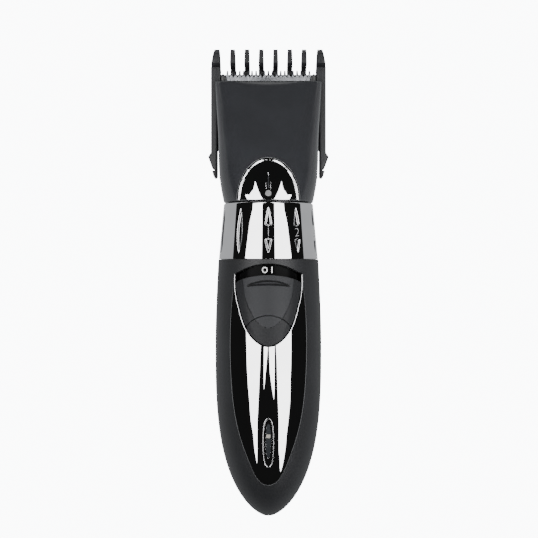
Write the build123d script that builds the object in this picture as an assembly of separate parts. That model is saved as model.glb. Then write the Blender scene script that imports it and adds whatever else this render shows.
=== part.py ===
from build123d import *
import math
import os

# A cordless hair clipper lying on its back. X is its width, +Y points to the blades, +Z out of
# the front face that carries the switch. Stations along Y are counted from the tail's tip.

# ---- driving dimensions, in millimetres ----
GRIP_RADIUS = 20.1          # widest half-width of the grip
GRIP_WIDEST = 66.0          # station of the widest place
GRIP_TOP = 97.0             # station of the grip's open end
GRIP_TOP_RADIUS = 19.0      # radius at the open end
TAIL_POWER = 3.1            # fullness of the tail along its length
TAIL_ROUNDNESS = 1.65       # bluntness of the tail's tip
TOP_TAPER_POWER = 1.6       # how the grip narrows from its widest place to the open end
AXIS_HEIGHT = 19.2          # main axis above the surface that the clipper lies on
LAND_DEPTH = 0.9            # how deep the flat on the back is cut into the grip
WALL = 2.0                  # housing wall
GRIP_STATIONS = [0.7, 3.0, 9.0, 20.0, 38.0, 66.0, 82.0, 96.5]

RING_BOTTOM = 97.6
RING_TOP = 118.5
RING_BOTTOM_RADIUS = 18.8
RING_TOP_RADIUS = 16.9
RING_SKIN = 1.0             # wall of the plated ring
RING_STEPS = 5
RING_STEP_DEG = 36.0
NECK_WALL = 1.4             # wall of the fixed neck that the ring turns on
NECK_TOP = 122.4
FLANGE_THICKNESS = 3.0
RUNNING = 0.3               # clearance between moving bodies
FIT = 0.05                  # clearance between curved pieces of one body
SEAT = 0.1                  # clearance round a plate in its recess

HEAD_BASE = 118.9
HEAD_TOP = 166.3
HEAD_WALL = 1.8
# station, half-width, lowest Z, highest Z, corner radius of each section of the head
HEAD_SECTIONS = [
    (HEAD_BASE, RING_TOP_RADIUS, 2.3, 36.1, 16.4),
    (126.0, 18.2, 2.3, 34.0, 13.5),
    (145.0, 19.2, 2.6, 25.4, 8.0),
    (HEAD_TOP, 20.7, 3.2, 14.5, 3.6),
]
ARCH_HALF_WIDTH = 11.6
ARCH_HEIGHT = 16.2
ARCH_THICKNESS = 1.0
ARCH_PROUD = 0.35

TRIM_THICKNESS = 1.2
TRIM_PROUD = 0.35
WINDOW_SIDE = 12.3          # half-width of the switch opening at its top corners
WINDOW_CORNER = 92.06
WINDOW_APEX = 95.7
TONGUE_TIP = 65.8
SLIDER_APEX = 91.6
SLIDER_SPLIT_APEX = 76.9    # where the moving slider meets the fixed tip
SLIDER_SPLIT_SIDE = 72.6
SLIDER_SPLIT_HALF_WIDTH = 8.3
SLIDER_THICKNESS = 1.5
SLIDER_TRAVEL = 2.6
SLIDER_PROUD = 0.3
RIDGE_HEIGHT = 0.7
PLATE_DEPTH = 2.1           # top of the plate under the slider, below the grip's surface
PLATE_THICKNESS = 1.2
PLATE_MARGIN = 1.15         # how far the plate reaches under the housing
INLAY_DEPTH = 1.85
STEM_STATION = 81.0
STEM_LENGTH = 4.0
STEM_WIDTH = 3.0
LENS_STATION = 31.2
LENS_LENGTH = 12.7
LENS_HALF_WIDTH = 0.95
LENS_DEPTH = 5.0

BLADE_HALF_WIDTH = 16.5
BLADE_TIP = 171.4           # fixed blade's tooth tips
BLADE_REAR = 153.0
BLADE_THICKNESS = 1.5
BLADE_GAP = 0.05            # sliding gap between the two blades
CUTTER_HALF_WIDTH = 14.9
CUTTER_SET_BACK = 0.5       # cutter tips behind the fixed tips
CUTTER_REAR = 158.4
CUTTER_THICKNESS = 1.4
TOOTH_PITCH = 1.6
TOOTH_DEPTH = 2.4
TOOTH_GAP = 0.7
STROKE = 1.2                # cutter's travel each way
BASE_LOW = 3.5
BASE_HIGH = 5.9
BASE_HALF_WIDTH = 18.3
BASE_REAR = 153.0
BASE_TOP = 170.0
SHOULDER_HIGH = 8.9         # black shoulders beside the blades
SCREW_X = 10.5
BLADE_SCREW_STATION = 155.0
TIP_RAKE = 0.5
CLAMP_HALF_WIDTH = 7.0
SPRING_HALF_WIDTH = 11.5
SPRING_LEG_WIDTH = 3.0
SPRING_THICKNESS = 0.4
DRIVER_FOOT_HALF_WIDTH = 6.0
YOKE_THICKNESS = 3.0
YOKE_RIM = 1.8
ARM_HALF = 4.0
DRIVER_LOW = 10.5
DRIVER_END = 163.0
SPRING_LOW = 9.25
FORK_HALF_WIDTH = 12.5
FORK_LENGTH = 2.6
FOLLOWER_RADIUS = 0.5
FOLLOWER_Z = 8.6
FOLLOWER_ORBIT = 15.1       # distance of the follower rods from the main axis
CAM_LEDGE = 114.2
COLLAR_LENGTH = 3.3
SEAL_WIRE = 0.35
SEAL_STATION = 119.4
HEAD_SCREW_STATION = 121.1
HEAD_SCREW_CAP = 0.8

CHANNEL_HALF_WIDTH = 19.6   # side channels of the head that the comb's arms slide in
CHANNEL_TOP = 9.3
RAIL_OUT = 20.5
RAIL_LOW = 5.0
RAIL_HIGH = 6.4
RAIL_END = 129.2
RAIL_STEP = 140.0
RAIL_TAIL_OUT = 19.2
COMB_TIP = 179.3
COMB_BACK = 0.3
COMB_FRAME_HIGH = 2.6
COMB_FRAME_REAR = 161.0
COMB_FRAME_FRONT = 170.5
COMB_TEETH_INNER = 6
COMB_PITCH = 5.55
COMB_TOOTH_WIDTH = 1.7
TOOTH_ROOT = 172.7          # fins start here, clear of the blades at full travel
ARM_INNER = 19.95
ARM_OUTER = 22.4
ARM_HIGH = 9.0
ARM_END = 129.4
TAB_STATION = 137.5
TAB_OUT = 23.5
NOTCH_STATION = 132.1
COMB_FOOT = 18.7            # inner face of the outer teeth
RAIL_ROOM = 0.9             # depth of the groove in each arm

MOTOR_RADIUS = 12.2
MOTOR_FIT = 0.3             # gap between the motor and the neck round it
MOTOR_LEAD_INSET = 0.83     # motor's leads inside its outer radius
MOTOR_REAR = 88.0
MOTOR_FRONT = 116.5
SHAFT_RADIUS = 1.0
ECCENTRICITY = 1.3
CRANK_RADIUS = 1.2
HUB_RADIUS = 4.5
BATTERY_RADIUS = 7.25
BATTERY_LENGTH = 50.0
BATTERY_STATION = 25.0
BATTERY_CLEARANCE = 1.35    # gap between the battery and the tray above it
BOARD_THICKNESS = 1.6
BOARD_HALF_WIDTH = 10.0
BOARD_REAR = 24.0
BOARD_FRONT = 85.0
TRAY_BOTTOM = 4.4           # tray's underside above the main axis
TRAY_THICKNESS = 2.0
TRAY_HALF_WIDTH = 11.0
CRADLE_HALF_WIDTH = 15.0    # the tray's arms reach this far out beside the motor
CRADLE_ARM_IN = 10.5
SADDLE_HALF_WIDTH = 9.5     # ribs under the tray that hold the battery
JACK_RADIUS = 4.0
JACK_REAR = 15.0
JACK_MOUTH = 6.0
JACK_FLOOR = 1.5            # thickness of the wall that holds the pin
BARREL_RADIUS = 1.8
PIN_RADIUS = 0.65
PIN_BASE_RADIUS = 0.95      # the pin's thicker end in the jack's wall
PIN_END = 3.0
SCREW_STATIONS = (20.0, 80.5)
SCREW_RADIUS = 1.2
SCREW_HEAD_RADIUS = 2.3
SCREW_HEAD_HEIGHT = 1.6
SCREW_CLEARANCE = 0.15
BOSS_RADIUS = 3.2
SCREW_SEAT = 9.0            # height of the screw heads' seats
BOARD_SCREWS = [(-7.5, 28.0), (7.5, 28.0), (-7.5, 72.0), (7.5, 72.0)]
BOARD_SCREW_RADIUS = 0.9
SMALL_SCREW_RADIUS = 1.0    # screws of the head and of the blades
SMALL_HEAD_RADIUS = 2.0
BLADE_HEAD_RADIUS = 1.7
BLADE_HEAD_HEIGHT = 1.1
BLADE_SCREW_SEAT = 0.6      # floor left under the blade screws in the base
FRONT_BITE = 8.0            # how far a housing screw reaches above the main axis
LEAD_RADIUS = 0.55
MOTOR_WALL = 0.8
ARMATURE_RADIUS = 8.8
HUB_START = 119.0
HUB_END = 123.0
CRANK_END = 128.6
DETENT_BALL = 1.15
DETENT_RADIUS = 15.6        # distance of the detent from the main axis
MARK_SPAN = (100.0, 116.5)
GROOVE_RADIUS = 3.6
GROOVE_DEPTH = 0.4

# ---- derived places ----
TAIL_FULLNESS = 1 - (BARREL_RADIUS / GRIP_RADIUS) ** TAIL_ROUNDNESS
TAIL_STATION = GRIP_WIDEST * (1 - TAIL_FULLNESS ** (1 / TAIL_POWER))
MIDDLE = (TAIL_STATION + COMB_TIP) / 2
LAND = AXIS_HEIGHT - GRIP_RADIUS + LAND_DEPTH
NECK_RADIUS = MOTOR_RADIUS + MOTOR_FIT + NECK_WALL
BATTERY_DROP = BATTERY_RADIUS + BATTERY_CLEARANCE - TRAY_BOTTOM
FIXED_LOW = BASE_HIGH
FIXED_HIGH = FIXED_LOW + BLADE_THICKNESS
CUTTER_LOW = FIXED_HIGH + BLADE_GAP
CUTTER_HIGH = CUTTER_LOW + CUTTER_THICKNESS
BOARD_BOTTOM = AXIS_HEIGHT + TRAY_BOTTOM + TRAY_THICKNESS
BOARD_TOP = BOARD_BOTTOM + BOARD_THICKNESS
LEAD_HEIGHT = BOARD_TOP + LEAD_RADIUS
MOTOR_LEAD_X = math.sqrt((MOTOR_RADIUS - MOTOR_LEAD_INSET) ** 2 - (LEAD_HEIGHT - AXIS_HEIGHT) ** 2)
RING_BORE = NECK_RADIUS + RUNNING
RING_SLOPE = math.degrees(math.atan((RING_BOTTOM_RADIUS - RING_TOP_RADIUS) / (RING_TOP - RING_BOTTOM)))
FLANGE_LOW = GRIP_TOP - FLANGE_THICKNESS
DETENT_Z = AXIS_HEIGHT - DETENT_RADIUS
FOLLOWER_X = math.sqrt(FOLLOWER_ORBIT ** 2 - (AXIS_HEIGHT - FOLLOWER_Z) ** 2)
HEAD_SCREW_POCKETS = [(-1.0, 4.0), (33.3, 40.0)]
BIG = 400.0


def save(node, shape):
    """Write one sub-part, with the origin on the surface, under the middle of the clipper's length."""
    placed = Pos(0, -MIDDLE, -LAND) * shape
    placed.label = node
    export_step(placed, os.path.join("parts", node + ".step"))


def along_y(radius, start, end, x=0.0, z=AXIS_HEIGHT):
    """A round bar whose axis runs along Y from one station to another."""
    return Pos(x, (start + end) / 2, z) * Rot(90, 0, 0) * Cylinder(radius, abs(end - start))


def block(x0, x1, y0, y1, z0, z1):
    return Pos((x0 + x1) / 2, (y0 + y1) / 2, (z0 + z1) / 2) * Box(x1 - x0, y1 - y0, z1 - z0)


def upright(radius, x, y, z0, z1):
    return Pos(x, y, (z0 + z1) / 2) * Cylinder(radius, z1 - z0)


def grip_radius(station):
    """Radius of the grip at a station: a full superellipse tail, then a slight taper."""
    if station <= GRIP_WIDEST:
        along = 1 - max(station, 0.0) / GRIP_WIDEST
        return GRIP_RADIUS * (1 - along ** TAIL_POWER) ** (1 / TAIL_ROUNDNESS)
    along = (station - GRIP_WIDEST) / (GRIP_TOP - GRIP_WIDEST)
    return GRIP_RADIUS - (GRIP_RADIUS - GRIP_TOP_RADIUS) * along ** TOP_TAPER_POWER


def two_arcs(start, start_direction, end, end_direction):
    """Two tangent arcs that join two points with the given directions at the ends."""
    start, end = Vector(*start), Vector(*end)
    first, last = Vector(*start_direction).normalized(), Vector(*end_direction).normalized()
    across = end - start
    lean = across.dot(first + last)
    turn = 2 * (1 - first.dot(last))
    if turn < 1e-6:
        reach = across.dot(across) / (2 * lean)
    else:
        reach = (math.sqrt(lean ** 2 + turn * across.dot(across)) - lean) / turn
    middle = (start + first * reach + end - last * reach) * 0.5
    opening = TangentArc(start, middle, tangent=first)
    return [opening, TangentArc(middle, end, tangent=opening % 1)]


def arc_chain(points, directions):
    """A smooth run of arcs through the points, with the given direction at each."""
    arcs = []
    for index in range(len(points) - 1):
        arcs += two_arcs(points[index], directions[index], points[index + 1], directions[index + 1])
    return arcs


def grip_profile(depth):
    """Points and directions of the grip's half outline, moved inwards square to the surface."""
    points, directions = [(0.0, depth)], [(1.0, 0.0)]
    for station in GRIP_STATIONS:
        slope = (grip_radius(station + 0.01) - grip_radius(station - 0.01)) / 0.02
        tilt = math.hypot(1, slope)
        radius, place = grip_radius(station) - depth / tilt, station + depth * slope / tilt
        if radius > points[-1][0] + 0.3 or place > points[-1][1] + 3:
            points.append((radius, place))
            directions.append((slope, 1.0))
    return points, directions


def grip_body(depth=0.0, past=0.0):
    """The grip as a solid of revolution, its surface moved inwards by depth."""
    arcs = arc_chain(*grip_profile(depth))
    corner = arcs[-1] @ 1
    end = GRIP_TOP + past
    closing = Polyline(corner, (corner.X, end), (0, end), (0, depth))
    edges = arcs + list(closing.edges())
    return Pos(0, 0, AXIS_HEIGHT) * revolve(make_face(edges), axis=Axis.Y)


def prism(face, z0, z1):
    """A flat outline in the XY plane, raised from z0 to z1."""
    return Pos(0, 0, z0) * extrude(face, amount=z1 - z0)


def grown(face, amount):
    return offset(face, amount=amount, kind=Kind.ARC) if amount else face


# ---- outlines in the front view ----
def disc_under(apex, side_x, side_y):
    """The disc whose rim passes through (0, apex) and (+-side_x, side_y)."""
    rise = apex - side_y
    radius = (side_x ** 2 + rise ** 2) / (2 * rise)
    return Pos(0, apex - radius) * Circle(radius)


def closed_outline(side, apex):
    """A face from arcs up the right side, starting on X = 0, their mirror image and a top arc."""
    guide = Spline(*side, tangents=[(1, 0), (0, 1)])
    directions = [guide % guide.param_at_point(point) for point in side]
    right = arc_chain(side, directions)
    left = [mirror(arc, about=Plane.YZ) for arc in right]
    corner = side[-1]
    top = ThreePointArc(corner, (0, apex), (-corner[0], corner[1]))
    return make_face(right + [top] + left)


def opening_outline():
    side = [(0, TONGUE_TIP), (5.16, 68.2), (8.62, 73.3), (10.77, 80.2), (WINDOW_SIDE - 0.25, 87.2),
            (WINDOW_SIDE - 0.3, WINDOW_CORNER)]
    return closed_outline(side, WINDOW_APEX)


def trim_outline():
    side = [(0, 14.2), (6.76, 22.2), (11.77, 38.0), (13.77, 56.1), (13.95, 70.0), (13.4, 80.5),
            (WINDOW_SIDE + 0.4, 88.0), (WINDOW_SIDE + 0.3, WINDOW_CORNER)]
    return closed_outline(side, WINDOW_CORNER + 0.3)


def almond(half_width, length, station):
    radius = ((length / 2) ** 2 + half_width ** 2) / (2 * half_width)
    shift = radius - half_width
    return (Pos(shift, station) * Circle(radius)) & (Pos(-shift, station) * Circle(radius))


OPENING = opening_outline()
TRIM = trim_outline()
LENS = almond(LENS_HALF_WIDTH, LENS_LENGTH, LENS_STATION)
SPLIT = disc_under(SLIDER_SPLIT_APEX, SLIDER_SPLIT_HALF_WIDTH, SLIDER_SPLIT_SIDE)
FRONT = AXIS_HEIGHT + 2.0
ABOVE = AXIS_HEIGHT + 2 * GRIP_RADIUS


def skin(outline, upper_depth, lower_depth):
    """The front of the grip inside an outline, between two depths below its surface."""
    return (prism(outline, FRONT, ABOVE) & grip_body(upper_depth)) - grip_body(lower_depth, past=1)


# ---- grip: housings, trim and switch ----
def recessed_body():
    """The grip's solid with a shallow recess for the trim on its front."""
    floor = grip_body(TRIM_THICKNESS - TRIM_PROUD + FIT, past=0)
    return (grip_body() - prism(grown(TRIM, SEAT), FRONT, ABOVE)) + floor


def housing_halves():
    shell = recessed_body() - grip_body(WALL, past=1)
    ribs = grip_body(WALL / 2) & block(-BIG, BIG, JACK_MOUTH + 4, JACK_MOUTH + 5.2, -BIG, BIG)
    shell += ribs - along_y(JACK_RADIUS + FIT, 0, JACK_REAR)
    shell -= along_y(BARREL_RADIUS, -1, JACK_MOUTH)
    shell -= block(-BIG, BIG, -BIG, BIG, -BIG, LAND)
    shell -= prism(grown(OPENING, SEAT), FRONT, ABOVE)
    shell -= prism(grown(LENS, SEAT), FRONT + 8, ABOVE)
    rear = shell & block(-BIG, BIG, -BIG, BIG, -BIG, AXIS_HEIGHT)
    front = shell & block(-BIG, BIG, -BIG, BIG, AXIS_HEIGHT, BIG)
    tops = (AXIS_HEIGHT, AXIS_HEIGHT + TRAY_BOTTOM)
    inside = grip_body(WALL / 2) & block(-BIG, BIG, -BIG, BIG, LAND + WALL / 4, BIG)
    for station, top in zip(SCREW_STATIONS, tops):
        rear += upright(BOSS_RADIUS, 0, station, LAND, top) & inside
        rear -= upright(SCREW_RADIUS + SCREW_CLEARANCE, 0, station, LAND - 1, top + 1)
        rear -= upright(SCREW_HEAD_RADIUS + SCREW_CLEARANCE, 0, station, LAND - 1, SCREW_SEAT)
    front += upright(BOSS_RADIUS, 0, SCREW_STATIONS[0], AXIS_HEIGHT, BIG) & inside
    hole_top = AXIS_HEIGHT + FRONT_BITE + 0.5
    front -= upright(SCREW_RADIUS + FIT, 0, SCREW_STATIONS[0], AXIS_HEIGHT - 1, hole_top)
    return rear, front


def front_trim():
    plate = skin(TRIM, -TRIM_PROUD, TRIM_THICKNESS - TRIM_PROUD)
    return plate - prism(grown(OPENING, SEAT), FRONT, ABOVE) - prism(grown(LENS, SEAT), FRONT, ABOVE)


def switch_surround():
    reach = block(-BIG, BIG, -BIG, GRIP_TOP - 0.4, -BIG, BIG)
    plate = skin(grown(OPENING, PLATE_MARGIN), PLATE_DEPTH, PLATE_DEPTH + PLATE_THICKNESS) & reach
    tip = grown(OPENING, -SEAT) & grown(SPLIT, -RUNNING / 2)
    plate += skin(tip, -SLIDER_PROUD / 2, PLATE_DEPTH + FIT)
    half = STEM_LENGTH / 2 + RUNNING
    slot = block(-STEM_WIDTH / 2 - RUNNING, STEM_WIDTH / 2 + RUNNING, STEM_STATION - half,
                 STEM_STATION + half + SLIDER_TRAVEL, FRONT, ABOVE)
    return plate - slot


def label_window():
    start = STEM_STATION + STEM_LENGTH / 2 + SLIDER_TRAVEL + 2 * RUNNING
    reach = Pos(0, start + GRIP_TOP / 2) * Rectangle(BIG, GRIP_TOP)
    return skin(grown(OPENING, -SEAT) & reach, INLAY_DEPTH, PLATE_DEPTH - FIT / 2)


def power_slider():
    outline = grown(OPENING, -RUNNING) & disc_under(SLIDER_APEX, 11.6, 89.3)
    outline -= grown(SPLIT, RUNNING / 2)
    body = skin(outline, -SLIDER_PROUD, SLIDER_THICKNESS - SLIDER_PROUD)
    crescent = disc_under(89.4, 7.67, 87.7) - disc_under(88.15, 7.67, 87.7)
    return body + skin(crescent, -SLIDER_PROUD - RIDGE_HEIGHT, SLIDER_THICKNESS / 2)


def slider_stem():
    top = grip_body(SLIDER_THICKNESS - SLIDER_PROUD + 0.02)
    half = STEM_LENGTH / 2
    post = block(-STEM_WIDTH / 2, STEM_WIDTH / 2, STEM_STATION - half, STEM_STATION + half,
                 SWITCH_TOP + RUNNING, ABOVE) & top
    blade = block(-0.8, 0.8, STEM_STATION - 0.8, STEM_STATION + 0.8, SWITCH_TOP - 1.2, SWITCH_TOP + 1)
    return post + blade


def status_lens():
    return skin(LENS, -TRIM_PROUD / 2, LENS_DEPTH)


# ---- inside the grip ----
SWITCH_TOP = BOARD_TOP + 3.6


def chassis():
    neck = along_y(NECK_RADIUS, FLANGE_LOW - 5, NECK_TOP)
    flange = grip_body(WALL + SEAT, past=0) & block(-BIG, BIG, FLANGE_LOW, GRIP_TOP, -BIG, BIG)
    flange -= prism(grown(OPENING, 1.6), FRONT, ABOVE)
    frame = neck + flange
    frame -= along_y(MOTOR_RADIUS + MOTOR_FIT, 0, NECK_TOP + 1)
    low = AXIS_HEIGHT + TRAY_BOTTOM
    high = low + TRAY_THICKNESS
    frame += block(-TRAY_HALF_WIDTH, TRAY_HALF_WIDTH, BOARD_REAR, BOARD_FRONT + 1, low, high)
    for side in (-1, 1):
        inner, outer = sorted((side * (MOTOR_RADIUS + 0.8), side * CRADLE_HALF_WIDTH))
        frame += block(inner, outer, BOARD_FRONT - 6, FLANGE_LOW + 1, low, high)
        inner, outer = sorted((side * CRADLE_ARM_IN, side * CRADLE_HALF_WIDTH))
        frame += block(inner, outer, BOARD_FRONT - 6, BOARD_FRONT + 1, low, high)
    for station in (BATTERY_STATION + 6, BATTERY_STATION + BATTERY_LENGTH - 8):
        rib = block(-SADDLE_HALF_WIDTH, SADDLE_HALF_WIDTH, station, station + 2, AXIS_HEIGHT - 2, low)
        frame += rib - along_y(BATTERY_RADIUS + FIT, 0, 100, z=AXIS_HEIGHT - BATTERY_DROP)
    frame -= upright(SCREW_RADIUS + FIT, 0, SCREW_STATIONS[1], low - 1, high + 1)
    for x, y in BOARD_SCREWS:
        frame -= upright(BOARD_SCREW_RADIUS + FIT, x, y, low - 1, high + 1)
    frame -= block(-4, 4, FLANGE_LOW + 0.7, GRIP_TOP + 1, DETENT_Z - 1.3, DETENT_Z + 1.3)
    frame -= upright(SMALL_SCREW_RADIUS + FIT, 0, HEAD_SCREW_STATION, LAND - 1, ABOVE)
    groove = along_y(BIG / 2, SEAL_STATION - SEAL_WIRE - FIT, SEAL_STATION + SEAL_WIRE + FIT)
    return frame - (groove - along_y(NECK_RADIUS - 2 * SEAL_WIRE - FIT, 0, BIG))


def circuit_board():
    board = block(-BOARD_HALF_WIDTH, BOARD_HALF_WIDTH, BOARD_REAR, BOARD_FRONT, BOARD_BOTTOM, BOARD_TOP)
    for x, y in BOARD_SCREWS:
        board -= upright(BOARD_SCREW_RADIUS + SCREW_CLEARANCE, x, y, BOARD_BOTTOM - 1, BOARD_TOP + 1)
    return board - upright(SCREW_RADIUS + 0.4, 0, SCREW_STATIONS[1], BOARD_BOTTOM - 1, BOARD_TOP + 1)


def board_components():
    chips = [block(-3, 3, 48, 54, BOARD_TOP, BOARD_TOP + 1.4)]
    chips.append(block(3.5, 7.5, 58, 62, BOARD_TOP, BOARD_TOP + 2))
    chips.append(upright(2.5, -5.5, 60, BOARD_TOP, BOARD_TOP + 5))
    chips.append(upright(1.6, 5.5, 43, BOARD_TOP, BOARD_TOP + 4))
    for station in (38, 41, 66, 69):
        chips.append(block(-6.5, -4.9, station, station + 0.8, BOARD_TOP, BOARD_TOP + 0.6))
    return chips


def board_screws():
    low = AXIS_HEIGHT + TRAY_BOTTOM
    screws = []
    for x, y in BOARD_SCREWS:
        head = upright(BOARD_SCREW_RADIUS * 1.8, x, y, BOARD_TOP, BOARD_TOP + 1.2)
        screws.append(upright(BOARD_SCREW_RADIUS, x, y, low, BOARD_TOP) + head)
    return screws


def switch_module():
    body = block(-4, 4, STEM_STATION - 4.2, STEM_STATION + 3 + SLIDER_TRAVEL - 3, BOARD_TOP, SWITCH_TOP)
    return body - block(-1.1, 1.1, STEM_STATION - 1.1, STEM_STATION + 1.1 + SLIDER_TRAVEL - 1.0,
                        SWITCH_TOP - 1.6, SWITCH_TOP + 1)


def status_led():
    led = upright(1.5, 0, LENS_STATION, BOARD_TOP, BOARD_TOP + 3)
    return led + Pos(0, LENS_STATION, BOARD_TOP + 3) * Sphere(1.5)


def battery_cell():
    height = AXIS_HEIGHT - BATTERY_DROP
    end = BATTERY_STATION + BATTERY_LENGTH
    can = along_y(BATTERY_RADIUS, BATTERY_STATION, end, z=height)
    can = fillet(can.edges().filter_by(GeomType.CIRCLE), 0.6)
    return can + along_y(2.7, end, end + 1, z=height)


def battery_contacts():
    height = AXIS_HEIGHT - BATTERY_DROP
    front = BATTERY_STATION + BATTERY_LENGTH + 1
    top = AXIS_HEIGHT + TRAY_BOTTOM
    return [block(-4.5, 4.5, BATTERY_STATION - 0.6, BATTERY_STATION, height - 4, top),
            block(-4.5, 4.5, front, front + 0.6, height - 4, top)]


def charging_jack():
    body = along_y(JACK_RADIUS, JACK_MOUTH, JACK_REAR)
    body -= along_y(BARREL_RADIUS, JACK_MOUTH - 1, JACK_REAR - JACK_FLOOR)
    return body - along_y(PIN_BASE_RADIUS, 0, JACK_REAR + 1)


def jack_pin():
    pin = along_y(PIN_RADIUS, PIN_END, JACK_REAR - JACK_FLOOR)
    pin = fillet(pin.edges().sort_by(Axis.Y)[0], 0.3)
    return pin + along_y(PIN_BASE_RADIUS, JACK_REAR - JACK_FLOOR, JACK_REAR)


def wire(start, end, radius=LEAD_RADIUS):
    """A straight lead between two points."""
    path = Line(start, end)
    return sweep(Plane(origin=start, z_dir=path % 0) * Circle(radius), path)


def lead_wires():
    jack = [wire((x, JACK_REAR + 0.3, AXIS_HEIGHT), (2.6 * x, BOARD_REAR - 0.8, BOARD_BOTTOM))
            for x in (-2.4, 2.4)]
    motor = [wire((x, BOARD_FRONT - 1.2, LEAD_HEIGHT), (x, MOTOR_REAR - 1.6, LEAD_HEIGHT))
             for x in (-MOTOR_LEAD_X, MOTOR_LEAD_X)]
    return jack + motor


# ---- motor and crank ----
def motor_can():
    can = along_y(MOTOR_RADIUS, MOTOR_REAR, MOTOR_FRONT)
    can = fillet(can.edges().filter_by(GeomType.CIRCLE).sort_by(Axis.Y)[-1], 1.0)
    can -= along_y(MOTOR_RADIUS - MOTOR_WALL, MOTOR_REAR - 1, MOTOR_FRONT - MOTOR_WALL)
    return can - along_y(SHAFT_RADIUS + 1.5, MOTOR_FRONT - 3, MOTOR_FRONT + 1)


def motor_magnets():
    inside = MOTOR_RADIUS - MOTOR_WALL - FIT
    ring = along_y(inside, MOTOR_REAR + 4, MOTOR_FRONT - 4)
    ring -= along_y(ARMATURE_RADIUS + RUNNING, 0, BIG)
    right = ring & block(2.5, BIG, -BIG, BIG, -BIG, BIG)
    return [right, ring & block(-BIG, -2.5, -BIG, BIG, -BIG, BIG)]


def motor_end_cap():
    cap = along_y(MOTOR_RADIUS - 0.2, MOTOR_REAR - 1.5, MOTOR_REAR)
    cap += along_y(MOTOR_RADIUS - MOTOR_WALL - FIT, MOTOR_REAR, MOTOR_REAR + 2)
    return cap - along_y(SHAFT_RADIUS + FIT, MOTOR_REAR - 0.9, MOTOR_REAR + 3)


def motor_bearing():
    bush = along_y(SHAFT_RADIUS + 1.5, MOTOR_FRONT - 2, MOTOR_FRONT + 1)
    return bush - along_y(SHAFT_RADIUS + FIT, 0, BIG)


def armature():
    core = along_y(ARMATURE_RADIUS, MOTOR_REAR + 5, MOTOR_FRONT - 5)
    for turn in range(3):
        core -= Pos(0, 0, AXIS_HEIGHT) * Rot(0, 120 * turn, 0) * block(-0.8, 0.8, 0, BIG, 3.5, 20)
    return core - along_y(SHAFT_RADIUS, 0, BIG)


def motor_shaft():
    return along_y(SHAFT_RADIUS, MOTOR_REAR - 0.8, HUB_END)


def eccentric_cam():
    hub = along_y(HUB_RADIUS, HUB_START, HUB_END + 1) - along_y(SHAFT_RADIUS, 0, HUB_END)
    crank = along_y(CRANK_RADIUS, HUB_END + 1, CRANK_END, z=AXIS_HEIGHT + ECCENTRICITY)
    return hub + crank


# ---- adjusting ring ----
def cone(bottom_radius, top_radius, start, end):
    height = end - start
    turned = Rot(-90, 0, 0) * Cone(bottom_radius, top_radius, height)
    return Pos(0, (start + end) / 2, AXIS_HEIGHT) * turned


def ring_radius(station):
    share = (station - RING_BOTTOM) / (RING_TOP - RING_BOTTOM)
    return RING_BOTTOM_RADIUS + (RING_TOP_RADIUS - RING_BOTTOM_RADIUS) * share


def adjusting_ring():
    skin = cone(RING_BOTTOM_RADIUS, RING_TOP_RADIUS, RING_BOTTOM, RING_TOP)
    skin -= cone(RING_BOTTOM_RADIUS - RING_SKIN, RING_TOP_RADIUS - RING_SKIN, RING_BOTTOM, RING_TOP)
    marks = Pos(0, 0, AXIS_HEIGHT)
    for step in range(10):
        low, high = MARK_SPAN
        radius = ring_radius((low + high) / 2)
        groove = Rot(-90 - RING_SLOPE, 0, 0) * Cylinder(GROOVE_RADIUS, high - low)
        groove = Pos(0, (low + high) / 2, radius + GROOVE_RADIUS - GROOVE_DEPTH) * groove
        skin -= marks * Rot(0, RING_STEP_DEG * step, 0) * (groove & almond_block(low, high))
    return skin


def almond_block(low, high):
    return prism(almond(1.0, high - low, (low + high) / 2), 0, 2 * GRIP_RADIUS)


def cam_ring():
    core = cone(RING_BOTTOM_RADIUS - RING_SKIN - FIT, ring_radius(CAM_LEDGE) - RING_SKIN - FIT,
                RING_BOTTOM, CAM_LEDGE)
    core -= along_y(RING_BORE, 0, BIG)
    for step in range(RING_STEPS):
        dimple = Pos(0, RING_BOTTOM, -DETENT_RADIUS) * Sphere(0.8)
        core -= Pos(0, 0, AXIS_HEIGHT) * Rot(0, -RING_STEP_DEG * step, 0) * dimple
    return core


def ring_washer():
    washer = along_y(NECK_RADIUS + 2.6, GRIP_TOP, GRIP_TOP + 0.3) - along_y(NECK_RADIUS + 0.3, 0, BIG)
    return washer - block(-4, 4, 0, BIG, 0, AXIS_HEIGHT)


def detent_ball():
    return Pos(0, GRIP_TOP + 0.3 - DETENT_BALL, DETENT_Z) * Sphere(DETENT_BALL)


def detent_spring():
    seat = GRIP_TOP + 0.3 - 2 * DETENT_BALL
    return block(-3.6, 3.6, seat - 0.3, seat, DETENT_Z - 0.7, DETENT_Z + 0.7)


# ---- head ----
def head_solid(grow=0.0):
    """The head's outer shape, or with a negative grow its cavity."""
    faces = []
    for station, half, low, high, corner in HEAD_SECTIONS:
        plane = Plane(origin=(0, station, (low + high) / 2), x_dir=(1, 0, 0), z_dir=(0, -1, 0))
        faces.append(plane * RectangleRounded(2 * (half + grow), high - low + 2 * grow, corner + grow))
    return loft(faces)


def arch_outline(grow=0.0):
    ellipse = Pos(0, HEAD_BASE) * Ellipse(ARCH_HALF_WIDTH + grow, ARCH_HEIGHT + grow)
    return ellipse & Pos(0, HEAD_BASE + BIG / 2) * Rectangle(BIG, BIG)


def follower_places():
    return [(side * FOLLOWER_X, FOLLOWER_Z) for side in (-1, 1)]


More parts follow.
